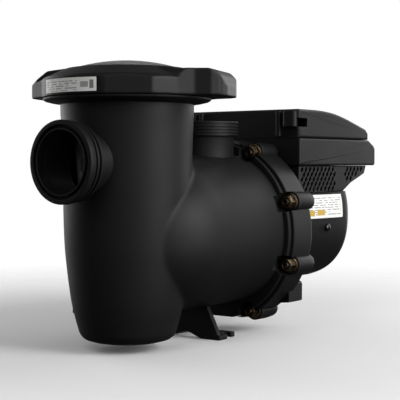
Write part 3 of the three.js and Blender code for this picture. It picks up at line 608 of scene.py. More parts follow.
def barrel_ring(x):
    nose = min(1, max(0, (BARREL_FULL_X - x) / (BARREL_FULL_X - BARREL_NOSE_X)))
    swell = max(0, (x - BARREL_FULL_X) / (BARREL_REAR_X - BARREL_FULL_X))
    size = math.sqrt(1 - nose * nose)
    half_width = size * (BARREL_HALF_WIDTH + swell * (BARREL_REAR_HALF_WIDTH - BARREL_HALF_WIDTH))
    rise = size * (BARREL_RISE + swell * (BARREL_REAR_RISE - BARREL_RISE))
    outline = superellipse(0, half_width, 1, BARREL_POWER, 128)
    return [(x, y, SHAFT_Z + z * (rise if z > 0 else size * BARREL_DROP)) for y, z in outline]


def barrel_skin():
    reach = BARREL_FULL_X - BARREL_NOSE_X
    nose = [BARREL_FULL_X - reach * math.cos(math.pi / 2 * i / 20) for i in range(1, 20)]
    return lofted("barrel", [barrel_ring(x) for x in (*nose, BARREL_FULL_X, 112, BARREL_REAR_X + 6)])


def saddle_skin():
    outline = rounded([
        (-70, 150, 0), (70, 150, 0), (68, 187, 24), (38, 213.5, 14), (-38, 213.5, 14), (-68, 187, 24),
    ])
    return extruded("saddle", outline, "x", 45, BARREL_REAR_X + 6)


def ring_profile(places, crest, root, slope=0.7):
    """Ridges of a port as (radius, distance) points."""
    points = []
    for low, high in places:
        points += [(root, low), (crest, low + slope), (crest, high - slope), (root, high)]
    return points


def from_face(profile, face, direction):
    return [(radius, face + direction * distance) for radius, distance in profile]


# The flat face of both ports with its groove for a seal, from its outer edge to the bore.
PORT_FACE = [
    (39.8, 0), (39.4, -0.4), (39.4, -5), (35.8, -5), (35.8, -0.4), (35.4, 0), (34.4, 0), (PORT_BORE, -0.5),
]


def suction_port():
    ridges = ring_profile([(-21.5, -17.6), (-15.4, -11.5)], 43, 40.6)
    profile = [
        (28, -60), (35, -60), (35, -23.4), (36, -22.4), (40.6, -22), *ridges, (40.6, -9.3),
        *arc(43.4, -7.4, 1.2, -90, 0, 3), *arc(43.4, -1.2, 1.2, 0, 90, 3), *PORT_FACE, (PORT_BORE, -12),
        (28, -12),
    ]
    return turned("suction_port", from_face(profile, SUCTION_FACE_X, -1), "x", (0, SUCTION_Z), 128)


def discharge_port():
    ridges = ring_profile([(-17 + 3.5 * i, -14.7 + 3.5 * i) for i in range(4)], 43.5, 41.6, 0.5)
    profile = [
        (28, -60), (37.5, -60), (37.5, -20), (38.2, -18.2), (41.6, -17.6), *ridges, (41.6, -2.6),
        (43.2, -2), *arc(42.5, -0.7, 0.7, 0, 90, 3), *PORT_FACE, (PORT_BORE, -14), (28, -14),
    ]
    return turned("discharge_port", from_face(profile, DISCHARGE_TOP_Z, 1), "z", (DISCHARGE_X, 0), 128)


def pot_collar():
    return turned("collar", [
        (60, 262), (74.5, 262), (74.7, 273.6), (75.2, 274.4), (84, 275.6), (91, 277.2), (93.4, 278.6),
        (94, 279.8), (94, 280.5), (82, 280.5), (82, 285), (81, 286), (60, 286),
    ], "z", (0, 0), 128)


def flange_ring():
    return turned("flange", [
        (84, FLANGE_FRONT_X), *arc(FLANGE_RADIUS - 1, FLANGE_FRONT_X + 1, 1, -90, 0, 3),
        (FLANGE_RADIUS, FLANGE_REAR_X), (84, FLANGE_REAR_X),
    ], "x", (0, SHAFT_Z), 160)


def below_flat():
    return box((150, 230), (-60, 60), (-10, FLANGE_FLAT_Z))


def feet():
    """The bracket's upright web, with an arch between the two feet, and the slotted plates behind it."""
    web = rounded([
        (-51, 0, 1.5), (-21.6, 0, 2), (-9, 5, 4), (0, 7.5, 5), (9, 5, 4), (21.6, 0, 2), (51, 0, 1.5),
        (29, 45, 2), (-29, 45, 2),
    ])
    plates = []
    for side in (-1, 1):
        corners = [
            (106, 21.6, 1), (146, 21.6, 3), (146, 45, 3), (136, 46.5, 2), (136, 36, 4.5), (124, 36, 4.5),
            (124, 49.5, 2), (106, 51, 2),
        ]
        outline = rounded([(x, side * y, radius) for x, y, radius in corners])
        plates.append(extruded("plate", outline, "z", 0, 5.8, 0.8))
    return joined(extruded("web", web, "x", 106, 112.5, 0.8), *plates)


def drain_boss(node):
    x, _, z = middle(node)
    face_y = span(node)[1][1] - PLUG_HEAD
    return rod("y", (x, z), 12, face_y - (22 if z < 60 else 45), face_y, 1)


def housing_hollows():
    nose = arc(BARREL_FULL_X, 0, 1, 180, 90, 14)
    volute = [(83 * up, BARREL_FULL_X + (x - BARREL_FULL_X) * 109) for x, up in nose]
    volute[0] = (0, volute[0][1])
    inside = turned("volute", [*volute, (83, 190), (0, 190)], "x", (0, SHAFT_Z), 96)
    inside = cut(inside, pot_skin())
    side = curve_through([(50, 24), (57.8, 51), (63.7, 92), (67, 140), (67, 300)])
    pot = turned("pot_inside", [(0, 16), (42, 16), *side, (0, 300)], "z", (0, 0), 96)
    return [
        inside, pot,
        rod("x", (0, SUCTION_Z), 32, SUCTION_FACE_X + 11, -40),
        rod("x", (0, SUCTION_Z), PORT_BORE, SUCTION_FACE_X - 1, SUCTION_FACE_X + 12, 0, 128),
        rod("z", (DISCHARGE_X, 0), 29, 190, DISCHARGE_TOP_Z + 1),
        rod("z", (DISCHARGE_X, 0), PORT_BORE, DISCHARGE_TOP_Z - 14, DISCHARGE_TOP_Z + 1, 0, 128),
        rod("x", (0, SHAFT_Z), 32, 50, 90),
        turned("groove", [(93.5, 180.8), (99.7, 180.8), (99.7, 190), (93.5, 190)], "x", (0, SHAFT_Z), 96),
    ]


def strainer_housing():
    skin = melted(gathered("housing_moulding", [pot_skin(), barrel_skin(), saddle_skin()]), 1.8, 14)
    trimmed = cut(skin, box((FLANGE_REAR_X - 20, 200), (-130, 130), (0, 260)))
    flange = cut(flange_ring(), below_flat())
    with_flange = joined(trimmed, flange)
    cut(with_flange, *nut_rods(EAR_RADIUS, 156, EAR_X))
    ears = nut_rods(EAR_RADIUS, EAR_X - 0.01, FLANGE_REAR_X)
    bosses = [drain_boss("pot_drain_plug"), drain_boss("volute_drain_plug")]
    joined(with_flange, *ears, *bosses, suction_port(), discharge_port(), pot_collar(), feet())
    holes = nut_rods(STUD_RADIUS + 0.3, 170, FLANGE_REAR_X + 2, 20)
    drains = []
    for node in ("pot_drain_plug", "volute_drain_plug"):
        x, _, z = middle(node)
        drains.append(rod("y", (x, z), 7.5, 40, span(node)[1][1] - 10, 0, 32))
    cut(with_flange, *housing_hollows(), *holes, *drains)
    put(with_flange, "pump", "black_housing", "strainer_housing", crease=28)


# ---------- Lid ----------

def lid_plan():
    """Half of the clamp ring's outline along the wings, from one wing's middle to the other's."""
    stepped = [
        (STEPPED_REACH, 0, 0), (STEPPED_REACH, -15, 10), (119, -29, 8), (110, -36.5, 2.5), (94, -41, 7),
        (79.5, -54.5, 5), (59, -77, 5), (13, -95, 3),
    ]
    round_part = [(x, y, 0) for x, y in arc(0, 0, LID_RADIUS, -86, -148, 20)]
    sloped = [(-95, -38, 8), (-104, -30, 10), (-SLOPED_REACH, -12, 10), (-SLOPED_REACH, 0, 0)]
    return [*stepped, *round_part, *sloped]


def lid_ring():
    half = lid_plan()
    other = [(x, -y, radius) for x, y, radius in reversed(half[1:-1])]
    plan = rounded([*half, *other], 4)
    cone = turned("cone", [
        (0, 270), (140, 270), (140, 288), (97.5, 299.3), (95, 300.3), (92, 303), (68, LID_TOP_Z),
        (0, LID_TOP_Z),
    ], "z", (0, 0), 128)
    stepped_side = rounded([
        (0, 270, 0), (STEPPED_REACH, 270, 0), (STEPPED_REACH, 290, 3), (119, 302, 8), (109, 310, 9),
        (78, 310, 8), (60, LID_TOP_Z - 0.5, 0), (0, LID_TOP_Z - 0.5, 0),
    ])
    sloped_side = rounded([
        (0, 270, 0), (-SLOPED_REACH, 270, 0), (-SLOPED_REACH, 290, 5), (-103, 296.5, 6), (-94, 301, 6),
        (-80, 311, 8), (-60, LID_TOP_Z - 0.5, 0), (0, LID_TOP_Z - 0.5, 0),
    ])
    tops = [cone]
    for side, width, edge in ((stepped_side, 54, 11), (sloped_side, 40, 0)):
        tops.append(extruded("wing", side, "y", -width, width, edge, 5))
    form = joined(*tops)
    body = shared(extruded("lid_moulding", plan, "z", LID_BOTTOM_Z, 320), form)
    hollow = turned("hollow", [
        (0, 270), (84.5, 270), (84.5, 298.8), (LID_BORE, 298.8), (LID_BORE, 330), (0, 330),
    ], "z", (0, 0), 128)
    cut(body, hollow)
    melted(body, 1.15, 5)
    strip = box((2.5, 8), (-99, -93.4), (283.5, 299))
    vent = turned_about(box((103, 115), (-30, -24), (306, 309)), 12, (109, -27, 307))
    cut(body, strip, vent)
    turned_about(body, WING_TURN)
    put(body, "clamp_ring", "black_cover", "lid_ring", crease=40)


def dome_height(radius):
    return LENS_TOP_Z - radius * radius / (2 * LENS_DOME_RADIUS)


def lid_lens():
    radii = [LENS_WALL_RADIUS * i / 16 for i in range(17)]
    outside = [(radius, dome_height(radius)) for radius in radii[:-1]][::-1]
    inside = [(radius, dome_height(radius) - 4.5) for radius in radii[:-2]]
    edge = LENS_WALL_RADIUS
    profile = [
        *inside, (edge - 4.5, 292.6), (82, 292.6), (82, 298.4), (edge, 298.4),
        (edge, dome_height(edge) - 1.6), *outside,
    ]
    piece = turned("lens_dome", profile, "z", (0, 0), 96)
    put(piece, "lid", "clear_lens", "lid_lens", crease=40)


def label_sheet(name, columns, rows, outside, inside):
    """A thin curved film with its printed face mapped from 0 to 1 both ways."""
    count = (columns + 1) * (rows + 1)
    steps = [(i / columns, j / rows) for j in range(rows + 1) for i in range(columns + 1)]
    points = [outside(u, v) for u, v in steps] + [inside(u, v) for u, v in steps]
    faces = []
    for j in range(rows):
        for i in range(columns):
            a = j * (columns + 1) + i
            quad = (a, a + 1, a + columns + 2, a + columns + 1)
            faces += [quad, tuple(count + k for k in reversed(quad))]
    rim = list(range(columns + 1))
    rim += [j * (columns + 1) + columns for j in range(1, rows + 1)]
    rim += [rows * (columns + 1) + i for i in range(columns - 1, -1, -1)]
    rim += [j * (columns + 1) for j in range(rows - 1, 0, -1)]
    for a, b in zip(rim, [*rim[1:], rim[0]]):
        faces.append((b, a, count + a, count + b))
    mesh = bpy.data.meshes.new(name)
    mesh.from_pydata([to_frame(point) for point in points], [], faces)
    layer = mesh.uv_layers.new(name="print")
    for loop in mesh.loops:
        layer.data[loop.index].uv = steps[loop.vertex_index % count]
    mesh.validate()
    piece = bpy.data.objects.new(name, mesh)
    scene.collection.objects.link(piece)
    return piece


def lid_label():
    def at(radius):
        def point(u, v):
            angle = math.radians(154.8 + 46.4 * u)
            return (radius * math.cos(angle), radius * math.sin(angle), 284 + 14.7 * v)
        return point
    piece = label_sheet("lid_label_film", 40, 6, at(LID_RADIUS + 0.75), at(LID_RADIUS + 0.3))
    put(piece, "clamp_ring", "label", "lid_label", look=lid_print)


# ---------- Seal plate, nuts and studs ----------

def seal_plate():
    centre = (0, SHAFT_Z)
    rim = turned("rim", [
        (FLANGE_RADIUS + 0.6, RIM_FRONT_X), (RIM_RADIUS - 1, RIM_FRONT_X), (RIM_RADIUS, RIM_FRONT_X + 1),
        (RIM_RADIUS, RIM_REAR_X - 5), *arc(RIM_RADIUS - 5, RIM_REAR_X - 5, 5, 15, 90, 4),
        (RIM_RADIUS - 7, RIM_REAR_X), (RIM_RADIUS - 7, 187), (FLANGE_RADIUS + 0.6, PLATE_FRONT_X),
    ], "x", centre, 160)
    cut(rim, below_flat(), *nut_rods(EAR_RADIUS + 0.5, 160, PLATE_FRONT_X))
    disc = cut(rod("x", centre, RIM_RADIUS - 6, PLATE_FRONT_X, PLATE_FRONT_X + 6, 0, 128), below_flat())
    bosses = [
        turned("boss", [
            (0, PLATE_FRONT_X), (EAR_RADIUS, PLATE_FRONT_X), (EAR_RADIUS, 204), (11.2, 214),
            (10.5, BOSS_REAR_X - 1), (9.5, BOSS_REAR_X), (0, BOSS_REAR_X),
        ], "x", place, 48)
        for place in nut_places]
    ribs = []
    for i in range(4):
        rib = box((190, 203), (-2.5, 2.5), (SHAFT_Z - 104, SHAFT_Z + 104), 1)
        ribs.append(turned_about(rib, 45 * i, (0, 0, SHAFT_Z), (1, 0, 0)))
    lugs = []
    for side in (-1, 1):
        corners = [(56, 44, 2), (62, 36, 3), (86, 38, 2), (86, 61, 3), (74, 66, 3)]
        outline = rounded([(side * y, z, radius) for y, z, radius in corners])
        lugs.append(extruded("lug", outline, "x", 202, 233, 1.2))
    hub = rod("x", centre, 34, PLATE_FRONT_X, RIM_REAR_X, 2, 64)
    neck = rod("x", centre, 22, 181, 188, 0.5, 48)
    body = joined(disc, rim, hub, neck, *bosses, *ribs, *lugs)
    cut(
        body,
        rod("z", (DISCHARGE_X, 0), 45.6, 228, 260, 0, 64),
        rod("x", centre, 9.5, 170, 230),
        rod("x", centre, 16, 179, 187.5),
        rod("x", centre, 20.3, 204, 230),
        *nut_rods(STUD_RADIUS + 0.3, 170, 215, 20),
    )
    body.name = "seal_plate_casting"
    put(body, "pump", "black_cover", "seal_plate", crease=34, flat=True)


def flange_nut(i):
    """A chamfered brass nut with its own round washer face."""
    y, z = nut_places[i - 1]
    low, high = span(f"flange_nut_{i}")
    front, seat = low[0], high[0]
    reach = 14.5 / math.sqrt(3)
    body = extruded("flange_nut_body", hexagon(y, z, reach), "x", front, seat - 1)
    dome = turned("dome", [
        (0, front), (5.9, front), (6.7, front + 0.3), (reach + 0.3, front + 1.7), (reach + 0.3, seat - 0.5),
        (0, seat - 0.5),
    ], "x", (y, z), 64)
    washer = turned("washer", [
        (0, seat - 2.4), (8.3, seat - 2.4), (9.6, seat - 2), (10.3, seat - 1.3), (10.3, seat - 0.2),
        (10.1, seat), (0, seat),
    ], "x", (y, z), 64)
    bore = turned("bore", [
        (0, front - 1), (5.4, front - 0.2), (4.3, front + 1), (4.3, seat + 1), (0, seat + 1),
    ], "x", (y, z), 40)
    body = cut(joined(shared(body, dome), washer), bore)
    body.name = f"flange_nut_turned_{i}"
    put(body, "pump", "brass", f"flange_nut_{i}", crease=30)


def flange_stud(i):
    """A threaded stud with a socket in its end."""
    y, z = nut_places[i - 1]
    rear = span(f"flange_stud_{i}")[1][0]
    ridges = []
    for k in range(11):
        x = STUD_END_X + 1 + 1.25 * k
        ridges += [(3.95, x), (3.5, x + 0.62)]
    stud = turned("stud", [
        (0, STUD_END_X), (3.2, STUD_END_X), (3.9, STUD_END_X + 0.7), *ridges, (3.95, 184), (3.95, rear),
        (0, rear),
    ], "x", (y, z), 40)
    cut(stud, extruded("socket", hexagon(y, z, 2.7), "x", STUD_END_X - 1, STUD_END_X + 5))
    stud.name = f"flange_stud_turned_{i}"
    put(stud, "pump", "steel", f"flange_stud_{i}", crease=30, look=looks["stud_steel"])


# ---------- Motor ----------

def shell_size(x, grow):
    """Half the shell's width and height at x, a little less at the front than at the rear."""
    share = min(1, max(0, (x - MOTOR_FRONT_X) / (MOTOR_REAR_X - MOTOR_FRONT_X)))
    narrowing = 1 - share * share * (3 - 2 * share)
    return MOTOR_HALF_WIDTH - 6 * narrowing + grow, MOTOR_HALF_HEIGHT - 4 * narrowing + grow


def shell_ring(x, grow):
    return [(x, y, z) for y, z in superellipse(MOTOR_Z, *shell_size(x, grow), MOTOR_POWER, 128)]


def shell_form(grow, low, high):
    xs = [low + (high - low) * i / 16 for i in range(17)]
    return lofted("shell", [shell_ring(x, grow) for x in xs])


def above_motor():
    return box((150, 450), (-150, 150), (MOTOR_TOP_Z, 400))


def motor_shell():
    body = shell_form(0, MOTOR_FRONT_X, MOTOR_REAR_X)
    cut(
        body,
        shell_form(-4, MOTOR_FRONT_X - 2, MOTOR_REAR_X + 2),
        box((MOTOR_FRONT_X + 4, MOTOR_REAR_X + 5), (-78, 78), (150, 200)),
        above_motor(),
    )
    eased(body, 1.2)
    body.name = "motor_cowl"
    put(body, "pump", "black_cover", "motor_shell", flat=True)


def shell_side(x, z, grow):
    """How far the shell reaches across at a height."""
    half_width, half_height = shell_size(x, grow)
    return half_width * (1 - (abs(z - MOTOR_Z) / half_height) ** MOTOR_POWER) ** (1 / MOTOR_POWER)


def rating_label():
    (front, _, low), (rear, _, high) = span("rating_label")

    def at(grow):
        def point(u, v):
            x = front + 1 + (rear - front - 2) * u
            z = low + 0.5 + (high - low - 1) * v
            return (x, -shell_side(x, z, grow), z)
        return point
    piece = label_sheet("rating_label_film", 24, 12, at(0.75), at(0.3))
    put(piece, "pump", "label", "rating_label", look=rating_print)


def ground_screw():
    low, high = span("ground_screw")
    x, _, z = middle("ground_screw")
    head = turned("ground_screw_head", [
        (0, high[1]), (5, high[1]), (5, low[1] + 2.2), (4.6, low[1] + 1.2), (3.4, low[1] + 0.4), (0, low[1]),
    ], "y", (x, z), 48)
    cut(
        head,
        box((x - 3.6, x + 3.6), (low[1] - 1, low[1] + 1.5), (z - 0.55, z + 0.55)),
        box((x - 0.55, x + 0.55), (low[1] - 1, low[1] + 1.5), (z - 3.6, z + 3.6)),
    )
    put(head, "pump", "steel", "ground_screw", look=looks["dark_steel"])


def fan_cover():
    low, high = span("fan_cover")

    def outline(x, grow):
        outer = superellipse(MOTOR_Z, MOTOR_HALF_WIDTH + grow, MOTOR_HALF_HEIGHT + grow, MOTOR_POWER, 128)
        return [(x, y, z) for y, z in outer]
    bends = [(low[0], 0), (345, -0.6), (347.5, -2), (349.8, -4.2), (351.6, -7), (353, -9.6), (high[0], -12.5)]
    outside = lofted("fan_cover_moulding", [outline(x, grow) for x, grow in bends])
    inner_bends = [(low[0] - 1, -3.5), (345, -4.3), (348, -7.5), (351, -13)]
    inside = lofted("inside", [outline(x, grow) for x, grow in inner_bends])
    slots = []
    for i in range(9):
        half = 50 - abs(i - 4) * 4
        z = 84 + 10 * i
        slot = rectangle((-half, half), (z, z + 4.5), 2.2)
        slots.append(extruded("slot", slot, "x", high[0] - 6, high[0] + 1))
    cut(outside, inside, above_motor(), *slots)
    eased(outside, 0.6)
    put(outside, "pump", "black_cover", "fan_cover", flat=True)


# ---------- Vent shroud ----------

def slanted_slot(x, z, length=6.9, width=4.4):
    """A slanted opening right through the shroud from side to side."""
    along, across = Vector((0.62, 0.78)), Vector((0.78, -0.62))
    corners = []
    for a, b in ((-1, -1), (1, -1), (1, 1), (-1, 1)):
        point = Vector((x, z)) + along * a * length / 2 + across * b * width / 2
        corners.append((*point, 1.1))
    return extruded("slot", rounded(corners, 2), "y", -95, 95)


def vent_slots():
    """Rows of slanted openings in two fields, with a plain bar between them."""
    slots = []
    for row in range(5):
        z = 176.5 + 6.1 * row
        for column in range(18):
            x = 233 + 9.4 * column + 4.7 * (row % 2)
            clear_of_bar = x < 316 or 339 < x
            above_edge = x < 330 or z > 181 + (x - 335) * 0.34
            if clear_of_bar and above_edge and x < 384 - (row % 2) * 2:
                slots.append(slanted_slot(x, z))
    return slots


def vent_shroud():
    outline = [
        (226, 172.3, 1), (336, 172.3, 2), (357, 183, 4), (393, 195, 3), (398, 205.7, 0), (226, 205.7, 0),
    ]
    inner = [
        (229.5, 171, 0), (326, 171, 0), (326, 175.8, 0), (351, 187, 2), (390, 199, 2), (393, 206.7, 0),
        (229.5, 206.7, 0),
    ]
    body = extruded("vent_grille", rounded(outline, 3), "y", -85, 85, 1.5)
    cut(
        body,
        extruded("inner", rounded(inner, 2), "y", -81.5, 81.5),
        rod("x", (0, SHAFT_Z), 61, 220, 345, 0, 96),
    )
    cut(body, gathered("slots", vent_slots()))
    put(body, "pump", "black_cover", "vent_shroud", flat=True)


# ---------- Drive ----------

def drive_housing():
    side = rounded([
        (DRIVE_FRONT_X, DRIVE_BOTTOM_Z, 2), (DRIVE_REAR_X, DRIVE_BOTTOM_Z, 3), (DRIVE_REAR_X, 228.5, 3),
        (DRIVE_REAR_X - 4, 233, 3), (DRIVE_SHOULDER_X, DRIVE_SEAM_Z, 1), (DRIVE_FRONT_X, DRIVE_SEAM_Z, 0),
    ])
    cavity = [(224, 210), (407, 210), (407, 226), (391, 236), (391, 241), (224, 241)]
    body = extruded("drive_tray", side, "y", -DRIVE_HALF_WIDTH, DRIVE_HALF_WIDTH, 3, 4)
    x, _, z = middle("conduit_plug")
    cut(
        body,
        extruded("cavity", cavity, "y", -86, 86),
        rod("y", (x, z), 9.5, 80, 100),
        rod("z", (262, 0), 12, 205, 211),
    )
    put(body, "pump", "black_cover", "drive_housing", flat=True)


def cover_side(depth, bottom):
    top = curve_through([(262, COVER_TOP_Z), (285, 275.2), (312, 272.6), (342, 267)], 5)
    rear = DRIVE_SHOULDER_X + 1 - depth
    corners = [
        (DRIVE_FRONT_X + depth, bottom, 0), (rear, bottom, 0), (rear, 249.5 - depth, 3.5),
        (391, 255 - depth, 6),
    ]
    smooth = [(x, z - depth, 0) for x, z in reversed(top)]
    return rounded([*corners, *smooth, (DRIVE_FRONT_X + depth, COVER_TOP_Z - depth, 3)])


def drive_cover():
    half = COVER_HALF_WIDTH
    skirt = DRIVE_SEAM_Z + 0.4
    body = extruded("drive_lid", cover_side(0, skirt), "y", -half, half, 3.5, 4)
    seat = box((DRIVE_FRONT_X + 2.8, DRIVE_SHOULDER_X - 1.7), (-85.3, 85.3), (skirt - 1, COVER_BOTTOM_Z))
    cut(body, extruded("hollow", cover_side(3.5, skirt - 4), "y", 3.5 - half, half - 3.5), seat)
    reach = PANEL_HALF_WIDTH
    tray = extruded("tray", rectangle((PANEL_FRONT_X - 3, PANEL_REAR_X + 3), (-reach - 3, reach + 3), 6), "z",
                    PANEL_FLOOR_Z - 3, COVER_TOP_Z - 4)
    shapes = (((213, 225), (67, 86), 5, 254, 273.5), ((214.5, 222), (56.5, 63.5), 2.5, 242, 274))
    posts = []
    for side in (-1, 1):
        for x, y, radius, bottom, top in shapes:
            sides = sorted((side * y[0], side * y[1]))
            posts.append(extruded("post", rectangle(x, sides, radius), "z", bottom, top, 0.8))
    joined(body, tray, *posts)
    notches = []
    for side in (-1, 1):
        sides = sorted((side * 83, side * 95))
        notches.append(extruded("notch", rectangle((218, 239), (254, 265), 1.2), "y", *sides))
    opening = rectangle((PANEL_FRONT_X, PANEL_REAR_X), (-reach, reach), 5)
    cut(body, extruded("opening", opening, "z", PANEL_FLOOR_Z, 290), *notches)
    put(body, "pump", "black_cover", "drive_cover", flat=True)


def panel_flap():
    """The hinged door over the keys, with a finger lip at the front and a hinge roll at the back."""
    low, high = span("panel_cover")
    sheet = extruded("panel_flap", cover_side(0, 250), "y", -80, 80)
    shared(sheet, extruded("opening", rectangle((low[0], 293.6), (low[1], high[1]), 5), "z", 240, 290))
    cut(sheet, extruded("below", cover_side(3, 200), "y", -90, 90))
    eased(sheet, 0.5)
    joined(sheet, rod("y", (291.5, 273), 1.5, low[1] + 6, high[1] - 6, 0.2, 24))
    put(sheet, "flap", "black_cover", "panel_cover", flat=True)


def plan_of(node, gap, radius):
    """A rounded rectangle around a CAD node as seen from above."""
    low, high = span(node)
    return rectangle((low[0] - gap, high[0] + gap), (low[1] - gap, high[1] + gap), radius)


def control_panel():
    low, high = span("control_panel")
    window_floor = span("display_window")[0][2] - 0.3
    plate = extruded("key_plate", plan_of("control_panel", 0, 5), "z", low[2], high[2], 0.5)
    pockets = [extruded("pocket", plan_of(name, 0.3, 2.6), "z", PANEL_FLOOR_Z + 1.2, 270) for name in BUTTONS]
    seat = extruded("seat", plan_of("display_window", 0.3, 2.2), "z", window_floor, 270)
    cut(plate, *pockets, seat)
    put(plate, "pump", "grey_plastic", "control_panel", flat=True)


def display_window():
    low, high = span("display_window")
    glass = extruded("display_glass", plan_of("display_window", 0, 2), "z", low[2], high[2], 0.3)
    put(glass, "pump", "dark_glass", "display_window")


def push_button(name):
    """A rounded key with a shallow finger dish."""
    low, high = span(name)
    top = high[2]
    key = extruded(name + "_key", plan_of(name, 0, 2.5), "z", low[2], top, 1, 4)
    cut(key, turned("dish", [
        (0, top - 0.6), (1.2, top - 0.52), (2.4, top - 0.25), (3.2, top + 0.05), (3.2, top + 2), (0, top + 2),
    ], "z", middle(name)[:2], 40))
    put(key, name, "grey_plastic", name)


# ---------- Plugs, basket and handle ----------

def conduit_plug():
    low, high = span("conduit_plug")
    x, _, z = middle("conduit_plug")
    outline = rounded([(*corner, 1.2) for corner in hexagon(x, z, 13.9)], 3)
    body = joined(
        extruded("conduit_plug_cap", outline, "y", high[1] - 5.7, high[1], 0.8),
        rod("y", (x, z), 9.2, low[1], high[1] - 4, 0, 48),
    )
    put(body, "pump", "black_cover", "conduit_plug", flat=True)


def drain_plug(node, body_name):
    low, high = span(node)
    x, _, z = middle(node)
    face = high[1] - PLUG_HEAD
    wing = extruded("grip", rectangle((x - 2, x + 2), (z - 9, z + 9), 1.9), "y", face + 3, high[1], 0.8)
    head = turned("head", [
        (0, face + 0.3), (11, face + 0.3), (11, face + 2.6), (10, face + 3.8), (6, face + 4), (0, face + 4),
    ], "y", (x, z), 64)
    ridges = []
    for k in range(8):
        y = low[1] + 1 + 1.7 * k
        ridges += [(6.5, y), (7.2, y + 0.6)]
    thread = turned("thread", [
        (0, low[1]), (6.5, low[1]), *ridges, (7.2, face + 1), (0, face + 1),
    ], "y", (x, z), 48)
    body = joined(head, wing, thread)
    body.name = node + "_moulding"
    put(body, body_name, "black_housing", node)


def strainer_basket():
    shell = turned("basket_moulding", [
        (0, 16.5), (40, 16.5), (41, 17.5), (60.5, 245), (64, 245), (64, 250), (58.5, 250), (38.4, 18.5),
        (0, 18.5),
    ], "z", (0, 0), 96)
    slots = []
    for middle_z in (84, 150):
        for i in range(12):
            slot = extruded("slot", rectangle((-4.5, 4.5), (middle_z - 27, middle_z + 27), 4.4), "x", 40, 70)
            slots.append(turned_about(slot, 30 * (i + 0.5)))
    inlet = rod("x", (0, SUCTION_Z), 27, -80, -40)
    ears = [box((-4, 4), sorted((side * 58.8, side * 63)), (247, 257), 0.8) for side in (-1, 1)]
    cut(shell, gathered("slots", slots), inlet)
    joined(shell, *ears)
    eased(shell, 0.4, 1)
    put(shell, "basket", "grey_plastic", "strainer_basket")


def basket_handle():
    path = curve_through([(0, -56), (22, -46), (40, 0), (22, 46), (0, 56)], 12)
    rings = []
    for i, (x, y) in enumerate(path):
        before, after = path[max(0, i - 1)], path[min(len(path) - 1, i + 1)]
        along = Vector((after[0] - before[0], after[1] - before[1])).normalized()
        side = Vector((along.y, -along.x))
        ring = [(x + side.x * w, y + side.y * w, 253 + h) for w, h in arc(0, 0, 2.15, 0, 330, 11)]
        rings.append(ring)
    put(lofted("bail_handle", rings), "bail", "grey_plastic", "basket_handle")


# ---------- CAD nodes that keep their own shape ----------

KEPT_NODES = {
    "grey_plastic": ("diffuser", "impeller"),
    "rubber": ("housing_o_ring", "lid_o_ring", "drive_gasket"),
    "steel": ("impeller_screw", "shaft_seal_ring", "motor_shaft", "rotor_core", "front_bearing",
              "rear_bearing"),
    "ceramic": ("shaft_seal_seat",),
    "copper": ("stator",),
    "aluminium": ("motor_frame", "heat_sink"),
    "black_cover": ("cooling_fan",),
    "board": ("circuit_board",),
    "capacitor": ("capacitor_1", "capacitor_2"),
}


def dress_kept_nodes():
    for slot, nodes in KEPT_NODES.items():
        for name in nodes:
            node = frame["nodes"][name]
            node.data.materials.clear()
            node.data.materials.append(looks[slot])


# ---------- Stage ----------

CAMERA_BACK = (-935.7, -808.9, 209.5)     # from the pot's axis, in millimetres
CAMERA_AIM = (0.798, 0.603)               # plan direction that the camera looks along
CAMERA_DROP = math.atan(0.0339)           # how far it looks down
CAMERA_LENS = 99
GLOW = 0.15                               # strength of the surroundings' light


def camera():
    data = bpy.data.cameras.new("camera")
    data.lens = CAMERA_LENS
    data.sensor_width = 36
    stand = bpy.data.objects.new("camera", data)
    scene.collection.objects.link(stand)
    stand.location = to_frame(CAMERA_BACK)
    level = math.cos(CAMERA_DROP)
    forward = Vector((CAMERA_AIM[0] * level, CAMERA_AIM[1] * level, -math.sin(CAMERA_DROP)))
    stand.rotation_mode = "QUATERNION"
    stand.rotation_quaternion = forward.to_track_quat("-Z", "Y")
    scene.camera = stand


def soft_light(name, azimuth, elevation, distance, size, power):
    """An area light aimed at the pump's middle, with its azimuth turned from the camera's own side."""
    data = bpy.data.lights.new(name, "AREA")
    data.shape = "RECTANGLE"
    data.size, data.size_y = size
    data.energy = power
    lamp = bpy.data.objects.new(name, data)
    scene.collection.objects.link(lamp)
    seen_from = math.atan2(-CAMERA_AIM[1], -CAMERA_AIM[0]) + math.radians(azimuth)
    rise = math.radians(elevation)
    level = math.cos(rise)
    away = Vector((math.cos(seen_from) * level, math.sin(seen_from) * level, math.sin(rise)))
    lamp.location = Vector((0, 0, 0.16)) + away * distance
    lamp.rotation_mode = "QUATERNION"
    lamp.rotation_quaternion = (-away).to_track_quat("-Z", "Y")


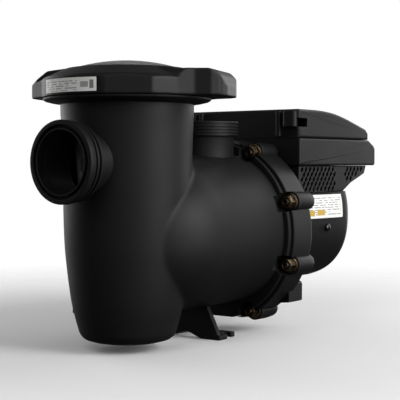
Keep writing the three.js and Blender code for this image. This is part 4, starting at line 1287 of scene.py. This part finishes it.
def world():
    """White behind the pump, and only a dim glow from above falling on it."""
    surroundings = bpy.data.worlds.new("studio")
    scene.world = surroundings
    mix = Recipe(surroundings)
    glow = mix.tree.nodes["Background"]
    backdrop = mix.add("Background")
    for light in (glow, backdrop):
        mix.feed(light.inputs["Color"], (1, 1, 1))
    direction = mix.add("SeparateXYZ")
    mix.feed(direction.inputs["Vector"], mix.place("Generated"))
    mix.feed(glow.inputs["Strength"], mix.between(direction.outputs["Z"], -0.5, 0.1, 0.05, GLOW))
    choose = mix.add("MixShader")
    mix.feed(choose.inputs[0], mix.add("LightPath").outputs["Is Camera Ray"])
    mix.feed(choose.inputs[1], glow.outputs[0])
    mix.feed(choose.inputs[2], backdrop.outputs[0])
    mix.feed(mix.tree.nodes["World Output"].inputs["Surface"], choose.outputs[0])


def floor():
    """A plain pale floor that thins out into the white around it and sends no light onto the pump."""
    mesh = bpy.data.meshes.new("floor")
    reach = 1.6
    edge = [(reach * math.cos(math.pi * i / 32), reach * math.sin(math.pi * i / 32), 0) for i in range(64)]
    mesh.from_pydata(edge, [], [tuple(range(64))])
    ground = bpy.data.objects.new("floor", mesh)
    scene.collection.objects.link(ground)
    mix = new_material("pale_floor")
    place = mix.place()
    mix.feed(mix.shader("Base Color"), mix.mixed(mix.noise(place, 3), (0.9, 0.9, 0.9), (0.86, 0.86, 0.86)))
    mix.feed(mix.shader("Roughness"), 0.8)
    distance = mix.add("VectorMath")
    distance.operation = "LENGTH"
    mix.feed(distance.inputs[0], place)
    mix.feed(mix.shader("Alpha"), mix.between(distance.outputs["Value"], 0.35, 0.95, 1, 0))
    mesh.materials.append(mix.owner)
    ground.visible_diffuse = False
    ground.visible_glossy = False


# ---------- The scene ----------

camera()
strainer_housing()
lid_ring()
lid_lens()
lid_label()
seal_plate()
for number in range(1, 9):
    flange_nut(number)
    flange_stud(number)
motor_shell()
rating_label()
ground_screw()
fan_cover()
vent_shroud()
drive_housing()
drive_cover()
panel_flap()
control_panel()
display_window()
for button_name in BUTTONS:
    push_button(button_name)
conduit_plug()
drain_plug("pot_drain_plug", "pot_drain")
drain_plug("volute_drain_plug", "volute_drain")
strainer_basket()
basket_handle()
dress_kept_nodes()

soft_light("key", 60, 19, 2.2, (1.3, 1.6), 52)
soft_light("fill", -22, 35, 2.2, (1.2, 1.2), 8)
soft_light("front", 20, 5, 2.2, (1.2, 1.2), 3.6)
soft_light("side", 100, 35, 2.2, (1.2, 1.2), 5)
soft_light("rear_left", -130, 14, 2.4, (1.8, 1.8), 26)
soft_light("rear_right", 140, 14, 2.4, (1.8, 1.8), 26)
world()
floor()
scene.view_settings.view_transform = "Standard"
